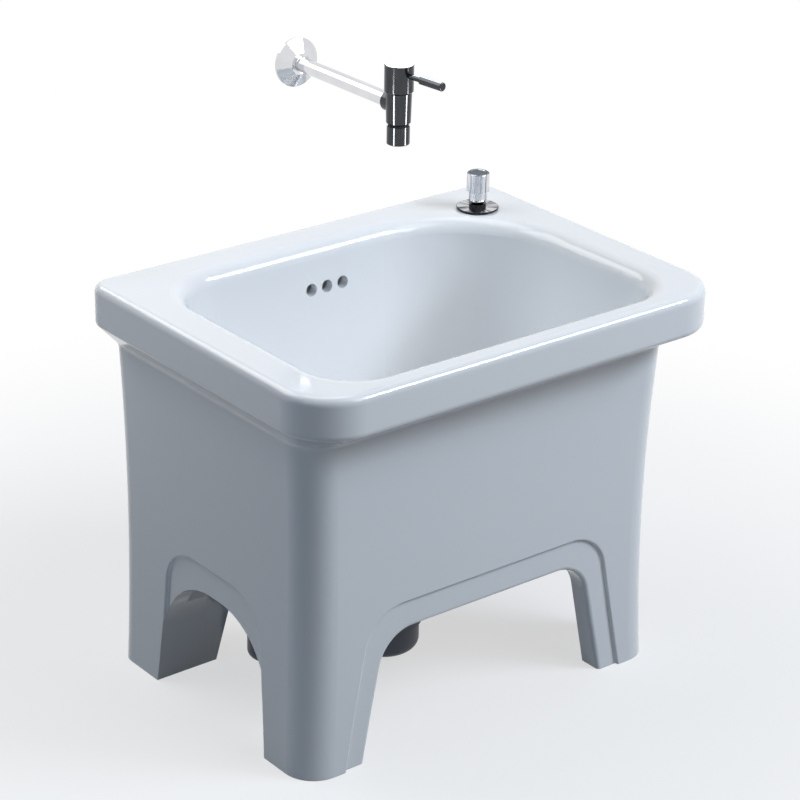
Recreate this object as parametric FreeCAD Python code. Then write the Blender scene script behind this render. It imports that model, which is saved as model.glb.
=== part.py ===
"""Floor-standing ceramic mop sink with a knob-worked drain, a bottle trap and a wall tap.

Frame: millimetres, +Z up, +Y towards the wall, origin at the bottom centre of the whole set.
The sink stands on four legs on the floor, with its back against the wall.
"""
import FreeCAD, Part
import math
import os

from FreeCAD import Vector

os.makedirs("parts", exist_ok=True)

OVERRUN = 20.0          # how far a cutting tool runs past the face that it cuts
RUNNING_GAP = 0.1       # radial clearance of a shaft that turns or slides in its bush
JOINT_GAP = 0.3         # clearance between soft or curved neighbours that move apart
THREAD_GAP = 0.1        # radial clearance left where a real thread engages
TOUCH = 0.01            # least gap between neighbours that rest on each other

# The set against the wall
BODY_WIDTH = 600.0
BODY_DEPTH = 450.0
BODY_HEIGHT = 505.0
TAIL_THREAD_LENGTH = 14.0       # tap thread that stands into the wall
WALL_Y = (BODY_DEPTH - TAIL_THREAD_LENGTH) / 2
FRONT_Y = WALL_Y - BODY_DEPTH

# Ceramic rim and skirt
RIM_BAND_HEIGHT = 49.0
RIM_FRONT_RADIUS = 66.0
RIM_BACK_RADIUS = 24.0
RIM_TOP_ROUND = 10.0
RIM_LOWER_ROUND = 8.0
UNDERSIDE_DROP = 32.0
UNDERSIDE_COVE = 14.0
SKIRT_WALL = 14.0
SKIRT_FRONT_RADIUS = 40.0
SKIRT_BACK_RADIUS = 25.0
WAIST_HEIGHT = 190.0
FOOT_SIDE_INSET = 31.0
WAIST_SIDE_INSET = 37.0
TOP_SIDE_INSET = 30.0
FOOT_FRONT_INSET = 60.0
WAIST_FRONT_INSET = 63.0
TOP_FRONT_INSET = 56.0
BACK_TRIM = 1.0                 # the rounded back is ground flat by this much

# Ceramic basin
DECK_THICKNESS = 12.0
BASIN_WALL = 12.0
LAND_SIDE = 60.0
LAND_FRONT = 31.0
LAND_BACK = 60.0
BASIN_FRONT_RADIUS = 60.0
BASIN_LEFT_BACK_RADIUS = 80.0
BASIN_RIGHT_BACK_RADIUS = BODY_DEPTH / 3
BASIN_DRAFT = 28.0
BASIN_FRONT_DRAFT_SHARE = 0.1756        # of the body's depth
BASIN_FRONT_DRAFT = BODY_DEPTH * BASIN_FRONT_DRAFT_SHARE
BASIN_KNEE_SHIFT_SHARE = 0.544          # of the front draft, come in at the knee
BASIN_KNEE_SHIFT = BASIN_FRONT_DRAFT * BASIN_KNEE_SHIFT_SHARE
BASIN_DRAFT_RADIUS_LOSS = 15.0
BASIN_FLOOR_Z = 222.0
BASIN_KNEE_SHARE = 0.3286               # of the basin's depth, down to the knee
BASIN_KNEE_Z = BODY_HEIGHT - (BODY_HEIGHT - BASIN_FLOOR_Z) * BASIN_KNEE_SHARE
BASIN_FLOOR_ROUND = 45.0
BASIN_LIP_ROUND = 20.0
DISH_RADIUS = 120.0
DISH_DROP = 6.0

# Drain seat in the basin floor
DRAIN_FROM_WALL = 185.0
DRAIN_X = 0.0
DRAIN_Y = WALL_Y - DRAIN_FROM_WALL
SEAT_RADIUS = 46.0
SEAT_DEPTH = 4.0
DRAIN_HOLE_RADIUS = 27.0
BOSS_RADIUS = 58.0
BOSS_HEIGHT = 22.0
SEAT_Z = BASIN_FLOOR_Z - DISH_DROP - SEAT_DEPTH
BOSS_BOTTOM_Z = SEAT_Z - BOSS_HEIGHT

# Overflow holes and their duct
OVERFLOW_HOLE_RADIUS = 7.8
OVERFLOW_PITCH = 23.5
OVERFLOW_COUNT = 3
OVERFLOW_BELOW_DECK = 55.0
DUCT_HALF_WIDTH = 42.0
DUCT_WALL = 7.0
DUCT_DEPTH = 22.0
DUCT_TOP_MARGIN = 20.0
DUCT_SLOT_HALF_WIDTH = 14.0
DUCT_SLOT_HEIGHT = 9.0
DUCT_FLOOR = 8.0

# Legs and arches
LEG_WIDTH = 87.0
LEG_DEPTH = 83.0
LEG_INNER_CUT = 12.0
LEG_WALL = 12.0
LEG_SOLE = 12.0
FRONT_LEG_CUT_WIDTH = 42.0
FOOT_WALL = 34.0
ARCH_TOP_Z = 157.0
LEG_TOP_Z = 172.0
FRONT_ARCH_LEAN = 33.0          # how much an arch side leans in from floor to crown
FRONT_ARCH_ROUND = 48.0
SIDE_ARCH_LEAN = 17.0
SIDE_ARCH_ROUND_SHARE = 0.833           # of half the side arch's width
FRONT_ARCH_EDGE_ROUND = 5.0
BAND_DEPTH = 4.0
BAND_EDGE_ROUND = 2.2
BAND_COVE = 1.5
BAND_RISE = 37.0
FRONT_BAND_WIDTH = 29.0
FRONT_BAND_LEAN = 38.0
FRONT_BAND_ROUND = 55.0
SIDE_BAND_WIDTH = -4.0          # the side band dies into the arch above the foot
SIDE_BAND_LEAN = 16.0
SIDE_BAND_ROUND = 57.0

# Waste flange, gaskets and nut
WASTE_FLANGE_RADIUS = 42.0
WASTE_FLANGE_THICKNESS = 3.0
WASTE_TUBE_RADIUS = 24.0
WASTE_TUBE_WALL = 3.0
WASTE_TUBE_LENGTH = 64.0
GASKET_THICKNESS = 2.0
GASKET_RADIUS = 40.0
SPIDER_THICKNESS = 5.0
SPIDER_ARM_WIDTH = 3.0
SPIDER_HUB_RADIUS = 7.5
SPIDER_BELOW_SEAT = 24.0
UNDER_WASHER_THICKNESS = 5.0
UNDER_WASHER_RADIUS = 37.0
SLIP_RING_THICKNESS = 1.5
BACK_NUT_HEIGHT = 11.0
BACK_NUT_FLATS = 66.0

# Drain plug
PLUG_RADIUS = 33.0
PLUG_DOME = 4.0
PLUG_EDGE = 2.5
PLUG_STEM_RADIUS = 4.0
PLUG_SEAL_INNER = 25.0
PLUG_SEAL_OUTER = 30.0
PLUG_SEAL_THICKNESS = 2.0

# Lift housing, bell crank and cable end
HOUSING_BORE = 21.0
HOUSING_HEIGHT = 46.0
HOUSING_SHOULDER = 16.0         # length of waste tube held in the housing
HOUSING_FLOOR = 4.0
HOUSING_SEAT_WALL = 5.0
CAVITY_INNER_REACH = 15.0
TAIL_RADIUS = 20.0
TAIL_WALL = 2.5
TAIL_BOTTOM_Z = 30.0
CRANK_REACH = 36.0
CRANK_ARM_LENGTH = 35.0
CRANK_SLOT_BELOW_NIPPLE = 4.0
CRANK_RISE = 14.0
CRANK_ARM_HALF_HEIGHT = 2.5
CRANK_ARM_HALF_WIDTH = 3.0
CRANK_HUB_RADIUS = 5.0
CRANK_HALF_WIDTH = 4.5
CRANK_SLOT_HALF_WIDTH = 2.5
CRANK_CHEEK_GAP = 1.5
CRANK_BELOW_TUBE = 10.0
CRANK_CHEEK_HALF_LENGTH = 5.0
CRANK_CHEEK_ABOVE_NIPPLE = 4.0
BOSS_WINDOW_TOP = 9.0
STEM_TO_CRANK_GAP = 0.4
CRANK_PIN_RADIUS = 2.0
CRANK_PIN_HEAD_RADIUS = 3.5
CRANK_PIN_HEAD = 1.5
BOSS_HALF_WIDTH = 7.0
BOSS_WALL = 3.0
BOSS_BELOW_PIVOT = 8.0
BOSS_ABOVE_PIVOT = 22.0
BOSS_REACH = 55.0
COVER_THICKNESS = 3.0
COVER_INNER_REACH = 29.5
GLAND_RADIUS = 5.5
GLAND_FLANGE_RADIUS = 8.0
GLAND_FLANGE = 4.0
GLAND_TAIL = 8.0
GLAND_TAIL_RADIUS = 4.5
WIRE_RADIUS = 0.75
NIPPLE_RADIUS = 2.0
NIPPLE_HALF_LENGTH = 4.0
SHEATH_RADIUS = 2.5
SHEATH_BORE = 1.1
SHEATH_END_BORE_LENGTH = 20.0
CABLE_BEND_RADIUS = 80.0
CABLE_FIRST_RUN = 33.0
CABLE_CLIMB_ANGLE = 35.0
SHEATH_IN_GLAND = 10.0
WIRE_INTO_SHEATH = 12.0

# Drain control on the deck
KNOB_FROM_RIGHT = 73.0
KNOB_FROM_WALL = 75.0
KNOB_X = BODY_WIDTH / 2 - KNOB_FROM_RIGHT
KNOB_Y = WALL_Y - KNOB_FROM_WALL
DECK_HOLE_RADIUS = 10.0
DECK_GASKET_RADIUS = 23.5
DECK_GASKET_THICKNESS = 1.5
DECK_FLANGE_RADIUS = 26.5
DECK_FLANGE_THICKNESS = 1.8
DECK_FLANGE_ROUND = 0.8
COLLAR_NUT_RADIUS = 10.9
COLLAR_NUT_HEIGHT = 4.2
COLLAR_NUT_GROOVE = 0.6
CONTROL_NECK_RADIUS = 8.0
CONTROL_SLEEVE_RADIUS = 12.0
CONTROL_FLANGE_RADIUS = 17.0
CONTROL_FLANGE_THICKNESS = 3.0
CONTROL_WASHER_THICKNESS = 3.0
CONTROL_BORE = 8.5
CONTROL_LENGTH = 44.0
CONTROL_BUSH_DEPTH = 8.0        # solid part of the sleeve above the carrier bore
SPINDLE_RADIUS = 5.0
SPINDLE_COLLAR_RADIUS = 7.5
SPINDLE_COLLAR = 5.0
SPINDLE_BELOW_COLLAR = 13.0
SPINDLE_INTO_KNOB = 20.0
SEAL_OUTER = 6.6
SEAL_HEIGHT = 2.4
SEAL_BELOW_DECK = 6.0
CARRIER_RADIUS = 8.3
CARRIER_HEIGHT = 14.0
CARRIER_FLOOR = 4.0
CARRIER_SPINDLE_GAP = 6.0       # free height below the spindle at rest
END_CAP_RADIUS = 14.5
END_CAP_OVERLAP = 12.0
END_CAP_FLOOR = 12.0
SHEATH_INTO_CAP = 4.0
WIRE_INTO_CARRIER = 2.0

# Drain knob
KNOB_HEIGHT = 39.5
KNOB_GAP = 1.0
KNOB_NECK_FOOT = 6.6
KNOB_NECK_BULGE = 10.9
KNOB_NECK_BULGE_HEIGHT = 6.5
KNOB_NECK_TOP_RADIUS = 10.6
KNOB_NECK_HEIGHT = 17.0
KNOB_LOBE_COUNT = 6
KNOB_SKIRT_UP = 14.5
KNOB_SKIRT_RADIUS = 14.3
KNOB_TOP_RADIUS = 13.8
KNOB_TOP_ROUND = 2.2
KNOB_FLUTE_DEPTH = 2.4
KNOB_FLUTE_TOP_DEPTH = 1.6
KNOB_FLUTE_RADIUS = 14.0
KNOB_DISH_SLOPE = 1.0
KNOB_DISH_RADIUS = 10.4
KNOB_DISH_DEPTH = 0.8
KNOB_FIRST_FLUTE = -128.0
GRUB_RADIUS = 2.0
GRUB_LENGTH = 4.5
GRUB_HEIGHT = 6.0
GRUB_SOCKET_RADIUS = 1.0
GRUB_SOCKET_DEPTH = 2.0

# Bottle trap and waste outlet
TRAP_RADIUS = 45.0
TRAP_WALL = 3.0
TRAP_BOTTOM_Z = 8.0
TRAP_BOTTOM_ROUND = 13.0
TRAP_CUP_HEIGHT = 50.0
TRAP_HEAD_RADIUS = 48.5
TRAP_HEAD_HEIGHT = 40.0
TRAP_HEAD_ROUND = 10.0
TRAP_HEAD_OVERLAP = 12.0
CUP_SEAL_THICKNESS = 2.0
CUP_SEAL_WIDTH = 2.5
TRAP_NECK_RADIUS = 25.0
TRAP_NECK_HEIGHT = 11.0
TRAP_NUT_RADIUS = 30.0
TRAP_NUT_HEIGHT = 14.0
TRAP_NUT_LIP = 3.0
TRAP_NUT_GRIPS = 12
TRAP_NUT_GRIP_RADIUS = 2.0
TRAP_SEAL_THICKNESS = 3.0
OUTLET_AXIS_Z = 80.0
OUTLET_PORT_REACH = 62.0
OUTLET_X_OFFSET = -122.0
OUTLET_Y_OFFSET = 72.0
OUTLET_BEND_RADIUS = 28.0
OUTLET_PIPE_RADIUS = 16.0
OUTLET_PIPE_WALL = 2.0
OUTLET_NECK_RADIUS = 21.0
OUTLET_NUT_RADIUS = 26.0
OUTLET_NECK_START = 35.0
OUTLET_PIPE_INSERT = 14.0
BOOT_RADIUS = 28.0
BOOT_HEIGHT = 50.0
BOOT_TOP_ROUND = 11.0
BOOT_FOOT_ROUND = 10.0

# Wall tap
TAP_REACH = 200.0
TAP_X = 0.0
TAP_Y = WALL_Y - TAP_REACH
TAP_OUTLET_Z = 670.0
NOZZLE_RADIUS = 13.5
NOZZLE_HEIGHT = 22.0
NOZZLE_BORE = 9.5
NOZZLE_THREAD_RADIUS = 11.0
NOZZLE_THREAD_LENGTH = 8.0
NOZZLE_ROUND = 1.0
AERATOR_THICKNESS = 4.0
AERATOR_RECESS = 7.0
AERATOR_HOLE_RADIUS = 0.9
AERATOR_RING_COUNT = 8
AERATOR_RING_SHARE = 0.62
TAP_GROOVE_HEIGHT = 2.5
TAP_GROOVE_RADIUS = 12.2
TAP_BODY_HEIGHT = 37.0
TAP_BODY_LOWER_RADIUS = 14.4
TAP_BODY_UPPER_RADIUS = 15.3
TAP_BODY_CHAMFER = 1.4
TAP_WATERWAY = 4.0
TAP_NECK_RADIUS = 13.4
TAP_NECK_HEIGHT = 8.0
STEM_AXIS_UP = 22.5
STEM_RADIUS = 9.0
STEM_BOSS_RADIUS = 12.5
STEM_BOSS_REACH = 19.0
STEM_BORE = 6.0
STEM_COLLAR_RADIUS = 11.5
STEM_COLLAR_LENGTH = 10.0
STEM_SPIGOT_RADIUS = 8.5
STEM_SPIGOT_LENGTH = 5.0
STEM_SEAL_THICKNESS = 1.2
INLET_THREAD_RADIUS = 10.48
WALL_FLANGE_RADIUS = 30.0
WALL_FLANGE_HEIGHT = 12.0
WALL_FLANGE_EDGE = 3.0
WALL_FLANGE_WALL = 1.5
WALL_FLANGE_NOSE = 13.5
CARTRIDGE_RADIUS = 9.5
CARTRIDGE_HEIGHT = 24.0
CARTRIDGE_WALL = 1.8
CARTRIDGE_HEAD_RADIUS = 12.4
CARTRIDGE_HEAD_HEIGHT = 4.0
CARTRIDGE_BORE_DEPTH = 18.0
CARTRIDGE_SEAL_HEIGHT = 1.5
CARTRIDGE_INLET_UP = 13.0
DISC_THICKNESS = 3.0
DISC_GAP = 0.05
FIXED_DISC_RADIUS = 7.6
MOVING_DISC_RADIUS = 7.3
DISC_SEAL_OUTER = 7.6
DISC_SEAL_INNER = 6.2
DISC_PORT_RADIUS = 2.2
DISC_PORT_OFFSET = 3.8
SPINDLE_SHAFT_RADIUS = 3.5
SPINDLE_FOOT_RADIUS = 6.0
SPINDLE_FOOT_HEIGHT = 3.0
SPINDLE_TOP_UP = 13.0
CAP_RADIUS = 17.1
CAP_HEIGHT = 33.0
CAP_WALL = 2.0
CAP_TOP = 4.0
CAP_TOP_ROUND = 0.8
CAP_FOOT_CHAMFER = 1.5
CAP_HUB_RADIUS = 9.0
CAP_HUB_HEIGHT = 14.0
LEVER_BELOW_TOP = 10.5
LEVER_ROD_RADIUS = 3.4
LEVER_ROD_START = 4.5
CAP_GRUB_LENGTH = 5.0
LEVER_GRIP_RADIUS = 5.2
LEVER_GRIP_START = 36.0
LEVER_GRIP_REACH = 71.5
LEVER_GRIP_SOCKET = 10.0
LEVER_GRIP_ROUND = 1.2
LEVER_YAW = 5.0

DOWN = Vector(0, 0, -1)
UP = Vector(0, 0, 1)


def export(shape, name):
    """Writes one sub-part to its STEP file."""
    shape.exportStep("parts/" + name + ".step")


def at(x, y, z):
    return Vector(x, y, z)


def cylinder(radius, start, direction, length):
    return Part.makeCylinder(radius, length, start, direction)


def ring(outer, inner, x, y, low, high):
    """A plain upright washer or tube."""
    body = cylinder(outer, at(x, y, low), UP, high - low)
    return body.cut(cylinder(inner, at(x, y, low - OVERRUN), UP, high - low + OVERRUN + OVERRUN))


def turned(profile, x, y):
    """Turns a closed outline of (radius, height) points about the upright axis at x, y."""
    points = [at(radius, 0, height) for radius, height in profile]
    face = Part.Face(Part.makePolygon(points + points[:1]))
    solid = face.revolve(at(0, 0, 0), UP, 360)
    solid.translate(at(x, y, 0))
    return solid


def prism(outline, low, high):
    """An upright block from a closed list of plan points."""
    points = [at(x, y, low) for x, y in outline]
    return Part.Face(Part.makePolygon(points + points[:1])).extrude(at(0, 0, high - low))


def polygon_nut(flats, count, x, y, low, high):
    """An upright nut with the given width across flats."""
    corner = flats / 2 / math.cos(math.pi / count)
    outline = [(x + corner * math.cos(2 * math.pi * i / count), y + corner * math.sin(2 * math.pi * i / count))
               for i in range(count)]
    return prism(outline, low, high)


def place_along(shape, origin, direction):
    """Moves a shape built along +X at the origin so that its X axis runs along a plan direction."""
    angle = math.degrees(math.atan2(direction.y, direction.x))
    moved = shape.copy()
    moved.rotate(at(0, 0, 0), UP, angle)
    moved.translate(origin)
    return moved


def box(x0, x1, y0, y1, z0, z1):
    return Part.makeBox(x1 - x0, y1 - y0, z1 - z0, at(x0, y0, z0))


def edges_at_height(shape, height):
    """The edges of a shape that lie flat at one height."""
    flat = []
    for edge in shape.Edges:
        limits = edge.BoundBox
        if abs(limits.ZMin - height) < TOUCH and abs(limits.ZMax - height) < TOUCH:
            flat.append(edge)
    return flat


def rounded_outline(x0, x1, y0, y1, radii, z):
    """A closed plan wire with corner radii front left, front right, back right, back left."""
    front_left, front_right, back_right, back_left = radii
    bulge = 1 - math.sqrt(2) / 2
    def line(ax, ay, bx, by):
        return Part.LineSegment(at(ax, ay, z), at(bx, by, z)).toShape()
    def corner(ax, ay, mx, my, bx, by):
        return Part.Arc(at(ax, ay, z), at(mx, my, z), at(bx, by, z)).toShape()
    return Part.Wire([
        line(x0 + front_left, y0, x1 - front_right, y0),
        corner(x1 - front_right, y0, x1 - front_right * bulge, y0 + front_right * bulge, x1, y0 + front_right),
        line(x1, y0 + front_right, x1, y1 - back_right),
        corner(x1, y1 - back_right, x1 - back_right * bulge, y1 - back_right * bulge, x1 - back_right, y1),
        line(x1 - back_right, y1, x0 + back_left, y1),
        corner(x0 + back_left, y1, x0 + back_left * bulge, y1 - back_left * bulge, x0, y1 - back_left),
        line(x0, y1 - back_left, x0, y0 + front_left),
        corner(x0, y0 + front_left, x0 + front_left * bulge, y0 + front_left * bulge, x0 + front_left, y0),
    ])


def body_outline(side, front, front_radius, back_radius, z, offset=0.0):
    """The sink's plan outline at one height, moved inward by an offset."""
    corner_front = front_radius - offset
    corner_back = back_radius - offset
    return rounded_outline(
        -BODY_WIDTH / 2 + side + offset, BODY_WIDTH / 2 - side - offset,
        FRONT_Y + front + offset, WALL_Y + BACK_TRIM - offset,
        (corner_front, corner_front, corner_back, corner_back), z)


def skirt_loft(offset, low, top):
    """The waisted skirt, as an outer form or moved inward for its inner wall."""
    return Part.makeLoft([
        body_outline(FOOT_SIDE_INSET, FOOT_FRONT_INSET, SKIRT_FRONT_RADIUS, SKIRT_BACK_RADIUS, low, offset),
        body_outline(WAIST_SIDE_INSET, WAIST_FRONT_INSET, SKIRT_FRONT_RADIUS, SKIRT_BACK_RADIUS,
                     WAIST_HEIGHT, offset),
        body_outline(TOP_SIDE_INSET, TOP_FRONT_INSET, SKIRT_FRONT_RADIUS, SKIRT_BACK_RADIUS, top, offset),
    ], True, False)


def rim_loft(offset, skirt_top, band_low, band_top):
    """The flared underside and the upright band of the rim."""
    flare = Part.makeLoft([
        body_outline(TOP_SIDE_INSET, TOP_FRONT_INSET, SKIRT_FRONT_RADIUS, SKIRT_BACK_RADIUS, skirt_top, offset),
        body_outline(0, 0, RIM_FRONT_RADIUS, RIM_BACK_RADIUS, band_low, offset),
    ], True, True)
    band = Part.makeLoft([
        body_outline(0, 0, RIM_FRONT_RADIUS, RIM_BACK_RADIUS, band_low, offset),
        body_outline(0, 0, RIM_FRONT_RADIUS, RIM_BACK_RADIUS, band_top, offset),
    ], True, True)
    return flare.fuse(band)


def basin_loft(offset, top, floor, floor_round):
    """The basin's hollow, or its outer skin when the offset is its wall."""
    width = BODY_WIDTH / 2 - LAND_SIDE
    front = FRONT_Y + LAND_FRONT
    back = WALL_Y - LAND_BACK
    radii = (BASIN_FRONT_RADIUS, BASIN_FRONT_RADIUS, BASIN_RIGHT_BACK_RADIUS, BASIN_LEFT_BACK_RADIUS)
    def outline(share, front_inset, z):
        inset = BASIN_DRAFT * share
        return rounded_outline(
            -width + inset - offset, width - inset + offset,
            front + front_inset - offset, back - inset + offset,
            [radius - BASIN_DRAFT_RADIUS_LOSS * share + offset for radius in radii], z)
    knee_share = (BODY_HEIGHT - BASIN_KNEE_Z) / (BODY_HEIGHT - BASIN_FLOOR_Z)
    solid = Part.makeLoft([
        outline(0, 0, top),
        outline(knee_share, BASIN_KNEE_SHIFT, BASIN_KNEE_Z),
        outline(1, BASIN_FRONT_DRAFT, floor)], True, False)
    return solid.makeFillet(floor_round, edges_at_height(solid, floor))


def basin_back_y(z):
    """Where the basin's back wall stands at one height."""
    share = (BODY_HEIGHT - z) / (BODY_HEIGHT - BASIN_FLOOR_Z)
    return WALL_Y - LAND_BACK - BASIN_DRAFT * share


def arch_face(half_width, lean, top, corner_round, low):
    """An arch outline across x and height: leaning sides, a level crown and rounded shoulders."""
    slope = math.atan2(lean, top)
    span = top - low
    foot = half_width + lean * (0 - low) / top
    crown = half_width - lean
    turn = math.pi / 2 - slope
    tangent = corner_round * math.tan(turn / 2)
    middle = turn / 2
    points = []
    for side in (-1, 1):
        down = at(side * (crown + tangent * math.sin(slope)), 0, top - tangent * math.cos(slope))
        level = at(side * (crown - tangent), 0, top)
        centre_x = crown - tangent
        centre_z = top - corner_round
        mid = at(side * (centre_x + corner_round * math.sin(middle)), 0, centre_z + corner_round * math.cos(middle))
        points.append((at(side * foot, 0, low), down, mid, level))
    left, right = points
    wire = Part.Wire([
        Part.LineSegment(left[0], left[1]).toShape(),
        Part.Arc(left[1], left[2], left[3]).toShape(),
        Part.LineSegment(left[3], right[3]).toShape(),
        Part.Arc(right[3], right[2], right[1]).toShape(),
        Part.LineSegment(right[1], right[0]).toShape(),
        Part.LineSegment(right[0], left[0]).toShape(),
    ])
    return Part.Face(wire)


FRONT_ARCH_HALF = BODY_WIDTH / 2 - FOOT_SIDE_INSET - LEG_WIDTH
SIDE_ARCH_FRONT = FRONT_Y + FOOT_FRONT_INSET + LEG_DEPTH
SIDE_ARCH_BACK = WALL_Y - LEG_DEPTH
SIDE_ARCH_HALF = (SIDE_ARCH_BACK - SIDE_ARCH_FRONT) / 2
SIDE_ARCH_Y = (SIDE_ARCH_BACK + SIDE_ARCH_FRONT) / 2
SIDE_ARCH_ROUND = SIDE_ARCH_HALF * SIDE_ARCH_ROUND_SHARE


def front_tool(face, y_from, y_to):
    """An arch face run along Y."""
    moved = face.copy()
    moved.translate(at(0, y_from, 0))
    return moved.extrude(at(0, y_to - y_from, 0))


def side_tool(face, x_from, x_to):
    """An arch face turned to look along X and run between two places."""
    moved = face.copy()
    moved.rotate(at(0, 0, 0), UP, 90)
    moved.translate(at(x_from, SIDE_ARCH_Y, 0))
    return moved.extrude(at(x_to - x_from, 0, 0))


EDGE_PROBE_SHARES = (0.05, 0.35, 0.65, 0.95)
EDGE_NEAR = 0.02        # how close to a surface an edge lies that belongs to it


def edges_between(shape, wall, surface):
    """The edges of a shape that lie on two surfaces at once."""
    found = []
    for edge in shape.Edges:
        first, last = edge.ParameterRange
        probes = [Part.Vertex(edge.valueAt(first + (last - first) * share)) for share in EDGE_PROBE_SHARES]
        if all(max(wall.distToShape(probe)[0], surface.distToShape(probe)[0]) < EDGE_NEAR for probe in probes):
            found.append(edge)
    return found


def sink_band(body, outline, tool, start, end, skin, floor):
    """Sinks one arch's band from the skin of the skirt to the band's floor, and rounds both its edges."""
    body = body.cut(tool(outline, start, end).cut(floor)).Solids[0]
    wall = tool(outline.OuterWire, start, end)
    body = body.makeFillet(BAND_EDGE_ROUND, edges_between(body, wall, skin.Shells[0]))
    return body.makeFillet(BAND_COVE, edges_between(body, wall, floor.Shells[0]))


PIVOT_Z = SEAT_Z + GASKET_THICKNESS - WASTE_TUBE_LENGTH - CRANK_BELOW_TUBE
CABLE_Z = PIVOT_Z + CRANK_RISE
CONTROL_DIRECTION = at(KNOB_X - DRAIN_X, KNOB_Y - DRAIN_Y, 0)
CONTROL_SPAN = CONTROL_DIRECTION.Length
DRAIN_AXIS = at(DRAIN_X, DRAIN_Y, 0)
OUTLET_DIRECTION = at(OUTLET_X_OFFSET, OUTLET_Y_OFFSET, 0)
OUTLET_SPAN = OUTLET_DIRECTION.Length
EAST = Vector(1, 0, 0)
NORTH = Vector(0, 1, 0)


def is_basin_edge(edge):
    limits = edge.BoundBox
    half_width = BODY_WIDTH / 2 - LAND_SIDE + TOUCH
    across = limits.XMin > -half_width and limits.XMax < half_width
    return across and limits.YMin > FRONT_Y + LAND_FRONT - TOUCH and limits.YMax < WALL_Y - LAND_BACK + TOUCH


def overflow_duct():
    """The duct behind and under the basin: its outer form, its passage and the slot into the drain."""
    top = BODY_HEIGHT - OVERFLOW_BELOW_DECK + DUCT_TOP_MARGIN
    skin = BASIN_WALL
    low = BOSS_BOTTOM_Z + DUCT_FLOOR
    high = low + DUCT_SLOT_HEIGHT
    knee = basin_back_y(BASIN_FLOOR_Z) + skin
    inner_end = DRAIN_Y + BOSS_RADIUS - DUCT_WALL
    def run(outline, half_width):
        points = [at(-half_width, y, z) for y, z in outline]
        return Part.Face(Part.makePolygon(points + points[:1])).extrude(at(half_width + half_width, 0, 0))
    outer = run([
        (basin_back_y(top) + skin / 2, top + DUCT_WALL),
        (basin_back_y(top) + skin + DUCT_DEPTH + DUCT_WALL, top + DUCT_WALL),
        (knee + DUCT_DEPTH + DUCT_WALL, BOSS_BOTTOM_Z),
        (inner_end, BOSS_BOTTOM_Z),
        (inner_end, SEAT_Z),
        (knee - skin / 2, SEAT_Z)], DUCT_HALF_WIDTH)
    passage = run([
        (basin_back_y(top) + skin, top),
        (basin_back_y(top) + skin + DUCT_DEPTH, top),
        (knee + DUCT_DEPTH, low),
        (inner_end + DUCT_WALL + DUCT_WALL, low),
        (inner_end + DUCT_WALL + DUCT_WALL, high),
        (knee, high)], DUCT_HALF_WIDTH - DUCT_WALL)
    slot = box(-DUCT_SLOT_HALF_WIDTH, DUCT_SLOT_HALF_WIDTH, DRAIN_Y, inner_end + DUCT_WALL + DUCT_WALL + TOUCH, low, high)
    return outer, passage.fuse(slot)


def leg_posts():
    """The corner posts inside the foot: hollow blocks at the back, cut-off corners at the front."""
    posts = []
    side = BODY_WIDTH / 2 - FOOT_SIDE_INSET
    for sign in (-1, 1):
        inner_x = sign * (side - LEG_WIDTH - FRONT_ARCH_LEAN)
        back_y = WALL_Y - LEG_DEPTH - SIDE_ARCH_LEAN
        outline = [(sign * side, WALL_Y), (inner_x, WALL_Y), (inner_x, back_y + LEG_INNER_CUT),
                   (inner_x + sign * LEG_INNER_CUT, back_y), (sign * side, back_y)]
        posts.append(prism(outline, -OVERRUN, LEG_TOP_Z))
        front = FRONT_Y + FOOT_FRONT_INSET
        front_x = sign * (side - LEG_WIDTH)
        outline = [(sign * side, front), (front_x, front), (front_x, front + FOOT_WALL),
                   (front_x + sign * FRONT_LEG_CUT_WIDTH, front + LEG_DEPTH), (sign * side, front + LEG_DEPTH)]
        posts.append(prism(outline, -OVERRUN, LEG_TOP_Z))
    return posts


def back_leg_pockets():
    side = BODY_WIDTH / 2 - FOOT_SIDE_INSET
    pockets = []
    for sign in (-1, 1):
        ends = sorted((sign * (side - SKIRT_WALL), sign * (side - LEG_WIDTH + LEG_WALL)))
        pocket = box(ends[0], ends[1], WALL_Y - LEG_DEPTH + LEG_WALL, WALL_Y - SKIRT_WALL, LEG_SOLE, LEG_TOP_Z + OVERRUN)
        pockets.append(pocket)
    return pockets


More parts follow.
